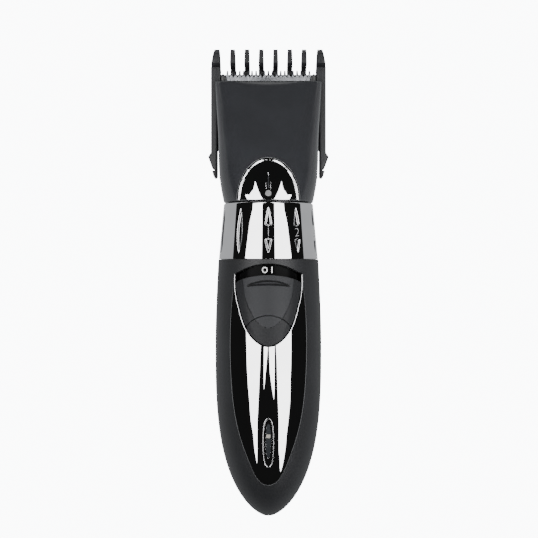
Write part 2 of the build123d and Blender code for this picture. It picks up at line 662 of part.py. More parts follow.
def head_housing():
    cavity = head_solid(-HEAD_WALL)
    shell = head_solid() - cavity
    collar = (cavity & block(-BIG, BIG, 0, HEAD_BASE + COLLAR_LENGTH, -BIG, BIG))
    shell += collar - along_y(NECK_RADIUS + FIT, 0, BIG)
    for side in (-1, 1):
        low, high = sorted((side * CHANNEL_HALF_WIDTH, side * BIG))
        shell -= block(low, high, HEAD_BASE - 1, BIG, -BIG, CHANNEL_TOP)
        low, high = sorted((side * 10, side * RAIL_TAIL_OUT))
        rail = block(low, high, RAIL_END, RAIL_STEP, RAIL_LOW, RAIL_HIGH)
        low, high = sorted((side * 10, side * RAIL_OUT))
        rail += block(low, high, RAIL_STEP, HEAD_TOP, RAIL_LOW, RAIL_HIGH)
        shell += rail - cavity
    opening = BASE_HALF_WIDTH + RUNNING
    shell -= block(-opening, opening, BASE_REAR - RUNNING, BIG, -BIG, BASE_HIGH + 0.2)
    for x, z in follower_places():
        shell -= along_y(FOLLOWER_RADIUS + RUNNING, 0, HEAD_BASE + 12, x=x, z=z)
    bed = head_solid(ARCH_PROUD - ARCH_THICKNESS - FIT)
    shell -= prism(arch_outline(SEAT), AXIS_HEIGHT, ABOVE) - bed
    shell -= upright(SMALL_SCREW_RADIUS + SCREW_CLEARANCE, 0, HEAD_SCREW_STATION, -1, ABOVE)
    for low, high in HEAD_SCREW_POCKETS:
        shell -= upright(SMALL_HEAD_RADIUS + SCREW_CLEARANCE, 0, HEAD_SCREW_STATION, low, high)
    return shell


def head_trim():
    plate = head_solid(ARCH_PROUD) - head_solid(ARCH_PROUD - ARCH_THICKNESS)
    return plate & prism(arch_outline(), AXIS_HEIGHT, ABOVE)


def head_screws():
    rear_head, rear_tip = HEAD_SCREW_POCKETS[0][1], AXIS_HEIGHT - NECK_RADIUS + NECK_WALL
    front_head, front_tip = HEAD_SCREW_POCKETS[1][0], AXIS_HEIGHT + NECK_RADIUS - NECK_WALL
    rear = upright(SMALL_SCREW_RADIUS, 0, HEAD_SCREW_STATION, rear_head, rear_tip)
    rear += upright(SMALL_HEAD_RADIUS, 0, HEAD_SCREW_STATION, rear_head - HEAD_SCREW_CAP, rear_head)
    front = upright(SMALL_SCREW_RADIUS, 0, HEAD_SCREW_STATION, front_tip, front_head)
    front += upright(SMALL_HEAD_RADIUS, 0, HEAD_SCREW_STATION, front_head, front_head + HEAD_SCREW_CAP)
    return [rear, front]


def neck_seal():
    return Pos(0, SEAL_STATION, AXIS_HEIGHT) * Rot(90, 0, 0) * Torus(NECK_RADIUS - SEAL_WIRE, SEAL_WIRE)


# ---- blades ----
def toothed_plate(half_width, rear, tip, low, high, pitch):
    """A flat blade whose front edge is cut into teeth, with raked tips."""
    plate = block(-half_width, half_width, rear, tip, low, high)
    count = int(half_width * 2 / pitch)
    first = -(count - 1) * pitch / 2
    for index in range(count):
        x = first + index * pitch
        half = TOOTH_GAP / 2
        plate -= block(x - half, x + half, tip - TOOTH_DEPTH, tip + 1, low - 1, high + 1)
    wedge = Pos(0, tip, high) * Rot(-35, 0, 0) * Box(BIG, 6, 2 * TIP_RAKE)
    return plate - wedge


def blade_base():
    body = block(-BASE_HALF_WIDTH, BASE_HALF_WIDTH, BASE_REAR, BASE_TOP - 1.5, BASE_LOW, BASE_HIGH)
    for side in (-1, 1):
        inner, outer = side * (BLADE_HALF_WIDTH + FIT), side * BASE_HALF_WIDTH
        mid = side * (BLADE_HALF_WIDTH + 1.2)
        foot = HEAD_TOP + 0.4
        points = [(inner, foot), (outer, foot), (outer, BASE_TOP - 1), (mid, BASE_TOP),
                  (inner, BASE_TOP - 1.6)]
        face = make_face(Polyline(*points, close=True))
        body += prism(face, BASE_LOW, SHOULDER_HIGH)
    for x in (-SCREW_X, SCREW_X):
        floor = BASE_LOW + BLADE_SCREW_SEAT
        body -= upright(SMALL_SCREW_RADIUS + FIT, x, BLADE_SCREW_STATION, floor, BASE_HIGH + 1)
    return body


def fixed_blade():
    plate = toothed_plate(BLADE_HALF_WIDTH, BLADE_REAR, BLADE_TIP, FIXED_LOW, FIXED_HIGH, TOOTH_PITCH)
    for x in (-SCREW_X, SCREW_X):
        plate -= upright(SMALL_SCREW_RADIUS + FIT, x, BLADE_SCREW_STATION, FIXED_LOW - 1, FIXED_HIGH + 1)
    return plate


def blade_screws():
    screws = []
    for x in (-SCREW_X, SCREW_X):
        seat = BASE_LOW + BLADE_SCREW_SEAT
        screw = upright(SMALL_SCREW_RADIUS, x, BLADE_SCREW_STATION, seat, FIXED_HIGH)
        head_top = FIXED_HIGH + BLADE_HEAD_HEIGHT
        screws.append(screw + upright(BLADE_HEAD_RADIUS, x, BLADE_SCREW_STATION, FIXED_HIGH, head_top))
    return screws


def moving_blade():
    tip = BLADE_TIP - CUTTER_SET_BACK
    return toothed_plate(CUTTER_HALF_WIDTH, CUTTER_REAR, tip, CUTTER_LOW, CUTTER_HIGH, TOOTH_PITCH)


def blade_driver():
    """The yoke: a window round the crank, and an arm down to the cutter."""
    half_x = ECCENTRICITY + CRANK_RADIUS + STROKE + RUNNING
    half_z = ECCENTRICITY + CRANK_RADIUS + RUNNING
    start = HUB_END + 1 + RUNNING
    end = start + YOKE_THICKNESS
    outer_x, outer_z = half_x + YOKE_RIM, half_z + YOKE_RIM
    yoke = block(-outer_x, outer_x, start, end, AXIS_HEIGHT - outer_z, AXIS_HEIGHT + outer_z)
    yoke -= block(-half_x, half_x, start - 1, end + 1, AXIS_HEIGHT - half_z, AXIS_HEIGHT + half_z)
    yoke += block(-ARM_HALF, ARM_HALF, start, end, DRIVER_LOW, AXIS_HEIGHT - outer_z + 0.1)
    yoke += block(-ARM_HALF, ARM_HALF, start, DRIVER_END, DRIVER_LOW, DRIVER_LOW + YOKE_THICKNESS)
    half = DRIVER_FOOT_HALF_WIDTH
    foot = block(-half, half, CUTTER_REAR + 0.4, DRIVER_END, CUTTER_HIGH, DRIVER_LOW + 0.1)
    return yoke + foot


def spring_clamp():
    half = CLAMP_HALF_WIDTH
    return block(-half, half, BLADE_REAR + 0.2, BLADE_SCREW_STATION + 1.2, FIXED_HIGH, SPRING_LOW)


def blade_spring():
    half, top = SPRING_HALF_WIDTH, SPRING_LOW + SPRING_THICKNESS
    leaf = block(-half, half, BLADE_REAR + 0.2, CUTTER_REAR - 1.4, SPRING_LOW, top)
    for side in (-1, 1):
        low, high = sorted((side * (half - SPRING_LEG_WIDTH), side * half))
        leaf += block(low, high, BLADE_REAR + 1, CUTTER_REAR + 4.5, SPRING_LOW, top)
    return leaf


def adjuster_fork():
    half, rear = FORK_HALF_WIDTH, BLADE_REAR - FORK_LENGTH
    fork = block(-half, half, rear, BLADE_REAR, FIXED_LOW + 0.3, FOLLOWER_Z + 0.8)
    for x, z in follower_places():
        fork += along_y(FOLLOWER_RADIUS, CAM_LEDGE + RUNNING, rear + 0.6, x=x, z=z)
    return fork


# ---- guide comb ----
def comb_arm():
    """The right-hand arm with its outer tooth, finger tab, notch and hook."""
    outline = [
        (ARM_INNER, ARM_END + 0.6), (ARM_INNER + 0.6, ARM_END), (ARM_INNER + 1.3, ARM_END + 0.2),
        (ARM_OUTER - 0.4, NOTCH_STATION - 0.1), (ARM_INNER + 1.0, NOTCH_STATION + 0.1),
        (ARM_INNER + 1.0, NOTCH_STATION + 0.8), (ARM_OUTER - 0.5, NOTCH_STATION + 1.0),
        (TAB_OUT, TAB_STATION), (ARM_OUTER, TAB_STATION + 1.6), (ARM_OUTER, HEAD_TOP + 2),
        (ARM_OUTER, TOOTH_ROOT), (COMB_FOOT, TOOTH_ROOT), (COMB_FOOT, HEAD_TOP + 0.4),
        (ARM_INNER, HEAD_TOP + 0.4),
    ]
    arm = prism(make_face(Polyline(*outline, close=True)), COMB_BACK, ARM_HIGH)
    low, high = RAIL_LOW - RUNNING, RAIL_HIGH + RUNNING
    groove = block(0, ARM_INNER + RAIL_ROOM, ARM_END - 1, HEAD_TOP + 0.4, low, high)
    return arm - groove


def fin_profile():
    """Side view of a tooth: up from the frame and forward over the blades."""
    points = [
        (COMB_FRAME_REAR + 2, COMB_BACK), (TOOTH_ROOT + 1.8, COMB_BACK), (COMB_TIP - 0.9, 3.0),
        (COMB_TIP, 5.6), (COMB_TIP, 8.8), (COMB_TIP - 1.9, 11.4), (TOOTH_ROOT + 0.9, 11.8),
        (TOOTH_ROOT, 10.6), (TOOTH_ROOT, 3.6), (TOOTH_ROOT - 1.1, COMB_FRAME_HIGH),
        (COMB_FRAME_REAR + 2, COMB_FRAME_HIGH),
    ]
    return make_face(Plane.YZ * Polyline(*points, close=True))


def guide_comb():
    comb = block(-ARM_OUTER, ARM_OUTER, COMB_FRAME_REAR, COMB_FRAME_FRONT, COMB_BACK, COMB_FRAME_HIGH)
    for index in range(COMB_TEETH_INNER):
        x = (index - (COMB_TEETH_INNER - 1) / 2) * COMB_PITCH
        fin = extrude(fin_profile(), amount=COMB_TOOTH_WIDTH)
        comb += Pos(x - COMB_TOOTH_WIDTH / 2, 0, 0) * fin
    right = comb_arm()
    fin = Pos(COMB_FOOT, 0, 0) * extrude(fin_profile(), amount=ARM_OUTER - COMB_FOOT)
    flare = [(COMB_FOOT, 0), (COMB_FOOT, TOOTH_ROOT), (COMB_FOOT + 0.3, COMB_TIP),
             (ARM_OUTER - 1.6, COMB_TIP), (ARM_OUTER, TOOTH_ROOT + 1), (ARM_OUTER, 0)]
    right += fin & prism(make_face(Polyline(*flare, close=True)), 0, 20)
    comb += right
    return comb + mirror(right, about=Plane.YZ)


def housing_screws():
    tops = (AXIS_HEIGHT + FRONT_BITE, AXIS_HEIGHT + TRAY_BOTTOM + TRAY_THICKNESS)
    return [upright(SCREW_RADIUS, 0, station, SCREW_SEAT, top)
            + upright(SCREW_HEAD_RADIUS, 0, station, SCREW_SEAT - SCREW_HEAD_HEIGHT, SCREW_SEAT)
            for station, top in zip(SCREW_STATIONS, tops)]


def group(solids):
    return Compound(children=[solid.solid() for solid in solids])


os.makedirs("parts", exist_ok=True)
rear_half, front_half = housing_halves()
save("rear_housing", rear_half)
save("front_housing", front_half)
save("front_trim", front_trim())
save("switch_surround", switch_surround())
save("label_window", label_window())
save("power_slider", power_slider())
save("slider_stem", slider_stem())
save("status_lens", status_lens())
save("status_led", status_led())
save("chassis", chassis())
save("housing_screws", group(housing_screws()))
save("circuit_board", circuit_board())
save("board_components", group(board_components()))
save("board_screws", group(board_screws()))
save("switch_module", switch_module())
save("battery_cell", battery_cell())
save("battery_contacts", group(battery_contacts()))
save("charging_jack", charging_jack())
save("jack_pin", jack_pin())
save("lead_wires", group(lead_wires()))
save("motor_can", motor_can())
save("motor_magnets", group(motor_magnets()))
save("motor_end_cap", motor_end_cap())
save("motor_bearing", motor_bearing())
save("motor_armature", armature())
save("motor_shaft", motor_shaft())
save("eccentric_cam", eccentric_cam())
save("adjusting_ring", adjusting_ring())
save("cam_ring", cam_ring())
save("ring_washer", ring_washer())
save("detent_ball", detent_ball())
save("detent_spring", detent_spring())
save("head_housing", head_housing())
save("head_trim", head_trim())
save("head_screws", group(head_screws()))
save("neck_seal", neck_seal())
save("blade_base", blade_base())
save("fixed_blade", fixed_blade())
save("blade_screws", group(blade_screws()))
save("moving_blade", moving_blade())
save("blade_driver", blade_driver())
save("spring_clamp", spring_clamp())
save("blade_spring", blade_spring())
save("adjuster_fork", adjuster_fork())
save("guide_comb", guide_comb())
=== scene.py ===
import math

import bmesh
import bpy
import numpy as np
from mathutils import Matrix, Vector
from mathutils.geometry import delaunay_2d_cdt


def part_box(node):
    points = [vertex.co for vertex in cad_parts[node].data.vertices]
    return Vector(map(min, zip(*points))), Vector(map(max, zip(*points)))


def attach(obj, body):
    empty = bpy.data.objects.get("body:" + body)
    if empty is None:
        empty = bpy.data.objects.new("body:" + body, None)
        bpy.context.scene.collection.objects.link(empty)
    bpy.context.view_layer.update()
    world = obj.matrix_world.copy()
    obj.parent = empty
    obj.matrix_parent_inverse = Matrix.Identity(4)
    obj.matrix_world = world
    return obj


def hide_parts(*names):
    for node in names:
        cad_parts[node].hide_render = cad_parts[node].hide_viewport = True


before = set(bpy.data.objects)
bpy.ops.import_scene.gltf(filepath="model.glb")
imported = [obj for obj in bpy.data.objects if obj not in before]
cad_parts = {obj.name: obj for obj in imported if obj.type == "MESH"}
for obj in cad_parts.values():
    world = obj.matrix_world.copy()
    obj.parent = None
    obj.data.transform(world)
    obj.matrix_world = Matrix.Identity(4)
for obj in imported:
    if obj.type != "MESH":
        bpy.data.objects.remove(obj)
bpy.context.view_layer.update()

# Places are given in millimetres as (x, station, height). A station counts from the tail's
# tip towards the blades, and metres() brings it into the frame.
MM = 0.001
COMB_TIP = 179.3
SHIFT = COMB_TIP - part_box("guide_comb")[1].y / MM
AXIS = 19.2
GRIP_END = 97.4
TAIL_START = 0.4
UNROLL = 20.0               # a grip angle in radians times this is a width in millimetres
NUDGE = 0.02                # step for slopes worked out from neighbouring points


def metres(points):
    placed = np.array(points, float).reshape(-1, 3)
    placed[:, 1] -= SHIFT
    return placed * MM


def unit(vectors):
    return vectors / np.maximum(np.linalg.norm(vectors, axis=-1, keepdims=True), 1e-12)


def ease(value, low, high):
    """0 below low, 1 above high, and a smooth climb between."""
    share = np.clip((np.asarray(value, float) - low) / (high - low), 0, 1)
    return share * share * (3 - 2 * share)


def cubic_between(a, b, rise_a, rise_b, share):
    """The cubic from a to b that leaves and arrives with the given rises over the whole span."""
    turn = share * share * (3 - 2 * share)
    return a + (b - a) * turn + share * (1 - share) * (rise_a * (1 - share) - rise_b * share)


# ---- lines in the flat ----
def smooth_run(points, first, last, step=0.3):
    """A smooth line through the points that starts and ends in the given directions."""
    knots = np.array(points, float)
    gaps = np.linalg.norm(np.diff(knots, axis=0), axis=1)
    count = len(knots)
    system, wanted = np.zeros((count, count)), np.zeros((count, 2))
    system[0, 0] = system[-1, -1] = 1
    wanted[0], wanted[-1] = unit(np.array(first, float)), unit(np.array(last, float))
    for i in range(1, count - 1):
        before, after = gaps[i - 1], gaps[i]
        system[i, i - 1 : i + 2] = 1 / before, 2 * (1 / before + 1 / after), 1 / after
        rise = (knots[i] - knots[i - 1]) / before ** 2 + (knots[i + 1] - knots[i]) / after ** 2
        wanted[i] = 3 * rise
    slopes = np.linalg.solve(system, wanted)
    line = []
    for i in range(count - 1):
        share = np.linspace(0, 1, max(3, int(gaps[i] / step)), endpoint=False)[:, None]
        rises = slopes[i : i + 2] * gaps[i]
        line.append(cubic_between(knots[i], knots[i + 1], rises[0], rises[1], share))
    return np.vstack(line + [knots[-1:]])


def bow(side, foot, apex, step=0.3):
    """The arc from (side, foot) over (0, apex) to (-side, foot)."""
    rise = apex - foot
    radius = (side ** 2 + rise ** 2) / (2 * rise)
    half = math.asin(side / radius) if rise < radius else math.pi - math.asin(side / radius)
    angles = np.linspace(half, -half, max(8, int(2 * half * radius / step)))
    return np.stack([radius * np.sin(angles), apex - radius + radius * np.cos(angles)], axis=1)


def mirrored(run):
    """The run's mirror image, in the opposite order."""
    return run[::-1] * [-1, 1]


def lengths(line):
    return np.concatenate([[0], np.cumsum(np.linalg.norm(np.diff(line, axis=0), axis=1))])


def trimmed(run, cut):
    along = lengths(run)
    keep = run[(along > cut) & (along < along[-1] - cut)]
    ends = [[np.interp(place, along, run[:, k]) for k in range(2)] for place in (cut, along[-1] - cut)]
    return np.vstack([ends[:1], keep, ends[1:]])


def rounded_loop(runs, cut, step):
    """A closed outline from runs that meet at corners, each corner rounded over the cut length."""
    parts = []
    short = [trimmed(run, cut) for run in runs]
    for i, run in enumerate(short):
        after = short[(i + 1) % len(short)]
        corner = (runs[i][-1] + runs[(i + 1) % len(runs)][0]) / 2
        share = np.linspace(0, 1, 7)[1:-1, None]
        bend = (1 - share) ** 2 * run[-1] + 2 * share * (1 - share) * corner + share ** 2 * after[0]
        parts += [run, bend]
    return even_loop(np.vstack(parts), step)


def even_loop(loop, step):
    """The closed outline with even spacing, running anticlockwise."""
    closed = np.vstack([loop, loop[:1]])
    along = lengths(closed)
    places = np.linspace(0, along[-1], max(12, int(along[-1] / step)), endpoint=False)
    even = np.stack([np.interp(places, along, closed[:, k]) for k in range(2)], axis=1)
    area = np.sum(even[:, 0] * np.roll(even[:, 1], -1) - np.roll(even[:, 0], -1) * even[:, 1])
    return even if area > 0 else even[::-1]


def outward(loop):
    """Directions out of an anticlockwise outline, square to it."""
    along = unit(np.roll(loop, -1, axis=0) - np.roll(loop, 1, axis=0))
    return np.stack([along[:, 1], -along[:, 0]], axis=1)


def grown(loop, amount):
    return loop + outward(loop) * amount


def oblong(half_width, low, high, step=0.2):
    """An outline with nearly straight sides and full round ends."""
    turn = np.linspace(0, 2 * math.pi, 400, endpoint=False)
    across, along = np.cos(turn), np.sin(turn)
    power = 2 / 2.5
    return even_loop(np.stack([
        half_width * np.sign(across) * np.abs(across) ** power,
        (low + high) / 2 + (high - low) / 2 * np.sign(along) * np.abs(along) ** power], axis=1), step)


def inside(points, loop):
    """Which points lie inside the outline."""
    found = np.zeros(len(points), bool)
    ends = np.roll(loop, -1, axis=0)
    for (ax, ay), (bx, by) in zip(loop, ends):
        crosses = (ay > points[:, 1]) != (by > points[:, 1])
        if ay != by:
            place = (bx - ax) * (points[:, 1] - ay) / (by - ay) + ax
            found ^= crosses & (points[:, 0] < place)
    return found


def between(points, loops):
    """Which points lie inside the first outline and outside the others."""
    return inside(points, loops[0]) & ~np.any([inside(points, loop) for loop in loops[1:]], axis=0)


# ---- surfaces ----
GRIP_RADIUS, WIDEST = 20.1, 66.0            # the grip's widest radius and its station
HEAD_TAPER, TAPER_LENGTH = 1.1, 31.0        # how much thinner the grip is that far past its widest


def grip_radius(station):
    station = np.asarray(station, float)
    tail = GRIP_RADIUS * (1 - np.clip(1 - station / WIDEST, 0, 1) ** 3.1) ** (1 / 1.65)
    past = np.clip(station - WIDEST, 0, None) / TAPER_LENGTH
    return np.where(station <= WIDEST, tail, GRIP_RADIUS - HEAD_TAPER * past ** 1.6)


TAIL_STEPS = TAIL_START + (GRIP_END + 2 - TAIL_START) * np.linspace(0, 1, 6000) ** 2
TAIL_WALK = lengths(np.stack([grip_radius(TAIL_STEPS), TAIL_STEPS], axis=1))


def on_grip(outline):
    """Front-view points (x, station) as points of the unrolled grip."""
    angle = np.arcsin(np.clip(outline[:, 0] / grip_radius(outline[:, 1]), -1, 1))
    return np.stack([UNROLL * angle, np.interp(outline[:, 1], TAIL_STEPS, TAIL_WALK)], axis=1)


def front_place(points):
    """Points of the unrolled grip as front-view points."""
    station = np.interp(points[:, 1], TAIL_WALK, TAIL_STEPS)
    return np.stack([grip_radius(station) * np.sin(points[:, 0] / UNROLL), station], axis=1)


def grip_base(points):
    station = np.interp(points[:, 1], TAIL_WALK, TAIL_STEPS)
    radius, angle = grip_radius(station), points[:, 0] / UNROLL
    height = AXIS + radius * np.cos(angle)
    soft = 0.12
    height = soft * np.logaddexp(0, np.clip(height / soft, -50, 500))
    return np.stack([radius * np.sin(angle), station, height], axis=1)


SECTIONS = np.array([
    # station, half-width, lowest, highest, corner radius
    (118.9, 16.9, 2.3, 36.1, 16.4),
    (126.0, 18.2, 2.3, 34.0, 13.5),
    (145.0, 19.2, 2.6, 25.4, 8.0),
    (166.3, 20.7, 3.2, 14.5, 3.6),
])


def head_section(station):
    """Half-width, lowest, highest and corner radius of the head at each station."""
    found = []
    knots = SECTIONS[:, 0]
    spans = np.diff(knots)
    for column in range(1, 5):
        values = SECTIONS[:, column]
        rises = np.diff(values) / spans
        slopes = [rises[0] - (rises[1] - rises[0]) * spans[0] / (spans[0] + spans[1])]
        for i in (1, 2):
            before, after = spans[i - 1], spans[i]
            slopes.append((rises[i - 1] * after + rises[i] * before) / (before + after))
        slopes.append(rises[-1] + (rises[-1] - rises[-2]) * spans[-1] / (spans[-1] + spans[-2]) * 0.5)
        index = np.clip(np.searchsorted(knots, station) - 1, 0, 2)
        leave, arrive = (np.array(slopes)[index + i] * spans[index] for i in (0, 1))
        share = (station - knots[index]) / spans[index]
        found.append(cubic_between(values[index], values[index + 1], leave, arrive, share))
    return found


def head_base(points):
    """Front face of the head over front-view points."""
    half, low, high, corner = head_section(points[:, 1])
    past = np.clip(np.abs(points[:, 0]) - (half - corner), 0, corner * 0.999)
    height = high - corner + np.sqrt(corner ** 2 - past ** 2)
    return np.stack([points[:, 0], points[:, 1], height], axis=1)


def facing(place, points):
    """Directions out of a surface, from its slope each way."""
    across = place(points + [NUDGE, 0]) - place(points - [NUDGE, 0])
    along = place(points + [0, NUDGE]) - place(points - [0, NUDGE])
    return unit(np.cross(across, along))


def per_point(value):
    """The value as a function that gives one number for each point."""
    return value if callable(value) else lambda points: np.full(len(points), float(value))


def raised(base, height):
    """The surface moved out by a height that may change from point to point."""
    return lambda points: base(points) + facing(base, points) * per_point(height)(points)[:, None]


# ---- meshes ----
def filled(loops, step):
    """Points and triangles that fill the first outline outside the others, whose points come first."""
    border = np.vstack(loops)
    low, high = border.min(axis=0), border.max(axis=0)
    grid = [(x, y) for i, y in enumerate(np.arange(low[1] + step / 2, high[1], step * 0.87))
            for x in np.arange(low[0] + (i % 2) * step / 2, high[0], step)]
    grid = np.array(grid).reshape(-1, 2)
    grid = grid[between(grid, loops)]
    near = np.full(len(grid), 1e9)
    for start in range(0, len(border), 64):
        gaps = grid[:, None] - border[None, start : start + 64]
        near = np.minimum(near, np.linalg.norm(gaps, axis=2).min(axis=1))
    flat = np.vstack([border, grid[near > 0.45 * step]])
    edges, first = [], 0
    for loop in loops:
        edges += [(first + i, first + (i + 1) % len(loop)) for i in range(len(loop))]
        first += len(loop)
    found = delaunay_2d_cdt([Vector(p) for p in flat], edges, [], 0, 1e-6)
    origin = [ids[0] if ids else -1 for ids in found[3]]
    triangles = np.array([[origin[i] for i in face] for face in found[2] if len(face) == 3])
    triangles = triangles[(triangles >= 0).all(axis=1)]
    return flat, triangles[between(flat[triangles].mean(axis=1), loops)]


def plate(base, rim, holes=(), top=0.0, bottom=-1.0, edge=0.2, step=1.0, rows=4):
    """A plate that follows a surface, with rounded upper edges, from outlines on that surface."""
    radius = per_point(edge)
    loops = [(rim, -outward(rim))] + [(hole, outward(hole)) for hole in holes]
    flat, triangles = filled([loop + inwards * radius(loop)[:, None] for loop, inwards in loops], step)
    surface, floor = raised(base, top), raised(base, bottom)
    count = len(flat)
    points = [surface(flat), floor(flat)]
    normals = [facing(surface, flat), -facing(base, flat)]
    faces = [tuple(t) for t in triangles] + [tuple(int(i) + count for i in t[::-1]) for t in triangles]
    total, first = 2 * count, 0
    for loop, inwards in loops:
        size, bend = len(loop), radius(loop)
        points.append(floor(loop))
        normals.append(unit(base(loop - inwards * NUDGE) - base(loop)))
        for row in range(rows):
            angle = math.pi / 2 * row / rows
            spot = loop + inwards * (bend * (1 - math.cos(angle)))[:, None]
            drop = bend * (1 - math.sin(angle))
            points.append(surface(spot) - facing(base, spot) * drop[:, None])
            aside = unit(base(spot - inwards * NUDGE) - base(spot))
            normals.append(unit(aside * math.cos(angle) + facing(surface, spot) * math.sin(angle)))
        starts = [first + count, *range(total, total + (rows + 1) * size, size), first]
        for lower, upper in zip(starts, starts[1:]):
            for i in range(size):
                j = (i + 1) % size
                quad = (lower + i, lower + j, upper + j, upper + i)
                faces.append(quad if loop is rim else quad[::-1])
        total += (rows + 1) * size
        first += size
    return np.vstack(points), faces, np.vstack(normals)


def tube(points):
    """Quads over a grid of points, rows by columns, each row closing on itself."""
    rows, columns = points.shape[:2]
    faces = []
    for i in range(rows - 1):
        for j in range(columns):
            k = (j + 1) % columns
            faces.append((i * columns + j, i * columns + k, (i + 1) * columns + k, (i + 1) * columns + j))
    return points.reshape(-1, 3), faces


def joined(*parts):
    """Several (points, faces, normals) as one."""
    points, faces, normals, total = [], [], [], 0
    for part in parts:
        points.append(part[0])
        faces += [tuple(i + total for i in face) for face in part[1]]
        normals.append(part[2] if len(part) > 2 else np.zeros_like(part[0]))
        total += len(part[0])
    return np.vstack(points), faces, np.vstack(normals)


def wrapped_sheet(rows):
    """Quads over rows of points that close on themselves both ways."""
    flat, faces = tube(np.array(list(rows) + [rows[0]]))
    count = len(rows) * len(rows[0])
    return flat[:count], [tuple(i % count for i in face) for face in faces]


def lathe(profile, count=48):
    """A closed ring from a closed outline of (radius, height) turned about the height axis."""
    angles = np.linspace(0, 2 * math.pi, count, endpoint=False)
    ring = np.array(profile, float)
    return wrapped_sheet(np.stack([
        np.outer(ring[:, 0], np.cos(angles)), np.outer(ring[:, 0], np.sin(angles)),
        np.repeat(ring[:, 1:], count, axis=1)], axis=2))


def prism(outline, low, high, order=(0, 1, 2)):
    """An outline raised from low to high; order says which way each of its three numbers goes."""
    loop = np.array(outline, float)
    count = len(loop)
    both = np.vstack([np.column_stack([loop, np.full(count, low)]),
                      np.column_stack([loop, np.full(count, high)])])
    placed = np.zeros_like(both)
    for source, target in enumerate(order):
        placed[:, target] = both[:, source]
    faces = [tuple(range(count - 1, -1, -1)), tuple(range(count, 2 * count))]
    faces += [(i, (i + 1) % count, (i + 1) % count + count, i + count) for i in range(count)]
    return placed, faces


def block(x0, x1, s0, s1, z0, z1, turned=1):
    """A box between two widths, stations and heights; turned = -1 puts it on the other side."""
    x0, x1 = sorted((turned * x0, turned * x1))
    return prism([(x0, s0), (x1, s0), (x1, s1), (x0, s1)], z0, z1)


def make_mesh(name, points, faces, normals=None, soften=None, bevel=0.0, segments=3):
    """A mesh in the frame, with its edges bevelled and its faces turned outwards."""
    mesh = bpy.data.meshes.new(name)
    mesh.from_pydata([tuple(p) for p in metres(points)], [], [tuple(int(i) for i in f) for f in faces])
    mesh.validate()
    if normals is None:
        form = bmesh.new()
        form.from_mesh(mesh)
        bmesh.ops.recalc_face_normals(form, faces=form.faces)
        if bevel:
            sharp = [e for e in form.edges if len(e.link_faces) == 2 and e.calc_face_angle(0) > 0.5]
            bmesh.ops.bevel(form, geom=sharp, offset=bevel * MM, segments=segments, profile=0.5,
                            affect="EDGES", clamp_overlap=True)
        form.to_mesh(mesh)
        form.free()
    mesh.shade_smooth()
    if normals is not None:
        mesh.normals_split_custom_set_from_vertices([tuple(n) for n in normals])
    elif soften is not None:
        mesh.set_sharp_from_angle(angle=math.radians(soften))
    return mesh


def linked(name, mesh):
    made = bpy.data.objects.new(name, mesh)
    bpy.context.scene.collection.objects.link(made)
    return made


def evaluated(thing, soften=None):
    """The object's shape with its modifiers applied, as a plain mesh; the object is removed."""
    view = bpy.context.evaluated_depsgraph_get()
    mesh = bpy.data.meshes.new_from_object(thing.evaluated_get(view))
    bpy.data.objects.remove(thing)
    if soften is not None:
        mesh.shade_smooth()
        mesh.set_sharp_from_angle(angle=math.radians(soften))
    return mesh


def carved(mesh, others, operation="DIFFERENCE", soften=35):
    """The mesh with the other meshes cut out of it or joined to it."""
    for other in others:
        host, tool = linked("carving", mesh), linked("carving_tool", other)
        change = host.modifiers.new("carve", "BOOLEAN")
        change.operation, change.object, change.solver = operation, tool, "EXACT"
        mesh = evaluated(host)
        bpy.data.objects.remove(tool)
    mesh.shade_smooth()
    mesh.set_sharp_from_angle(angle=math.radians(soften))
    return mesh


def piece(name, mesh, body, slot, material=None, node=None):
    """A piece on its body, in place of its CAD node: the one given, or the one of its own name."""
    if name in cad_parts:
        name, node = name + "_shaped", name
    made = linked(name, mesh)
    mesh.materials.clear()
    mesh.materials.append(material or FINISHES[slot])
    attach(made, body)
    if node:
        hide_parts(node)


def plate_piece(name, body, slot, *plates, material=None, finishing=lambda mesh: mesh):
    """A piece made of plates, finished by a function of its mesh."""
    piece(name, finishing(make_mesh(name, *joined(*plates))), body, slot, material)


# ---- repeated pieces ----
def repeat_tree():
    """Copies of one piece along a line, joined to the piece that carries them."""
    tree = bpy.data.node_groups.new("Repeat Along Line", "GeometryNodeTree")
    face = tree.interface
    face.new_socket("Geometry", in_out="INPUT", socket_type="NodeSocketGeometry")
    for label, kind in (("Piece", "Object"), ("Count", "Int"), ("First Place", "Vector"),
                        ("Spacing", "Vector"), ("Finish", "Material")):
        face.new_socket(label, in_out="INPUT", socket_type="NodeSocket" + kind)
    face.new_socket("Geometry", in_out="OUTPUT", socket_type="NodeSocketGeometry")
    add, link = tree.nodes.new, tree.links.new
    given, result = add("NodeGroupInput"), add("NodeGroupOutput")
    line, info, copies, both, solid, finish = (add("GeometryNode" + kind) for kind in (
        "MeshLine", "ObjectInfo", "InstanceOnPoints", "JoinGeometry", "RealizeInstances", "SetMaterial"))
    line.mode, line.count_mode = "OFFSET", "TOTAL"
    link(given.outputs["Count"], line.inputs["Count"])
    link(given.outputs["First Place"], line.inputs["Start Location"])
    link(given.outputs["Spacing"], line.inputs["Offset"])
    link(given.outputs["Piece"], info.inputs["Object"])
    link(line.outputs["Mesh"], copies.inputs["Points"])
    link(info.outputs["Geometry"], copies.inputs["Instance"])
    link(given.outputs["Geometry"], both.inputs["Geometry"])
    link(copies.outputs["Instances"], both.inputs["Geometry"])
    link(both.outputs["Geometry"], solid.inputs["Geometry"])
    link(solid.outputs["Geometry"], finish.inputs["Geometry"])
    link(given.outputs["Finish"], finish.inputs["Material"])
    link(finish.outputs["Geometry"], result.inputs["Geometry"])
    return tree


REPEAT = repeat_tree()


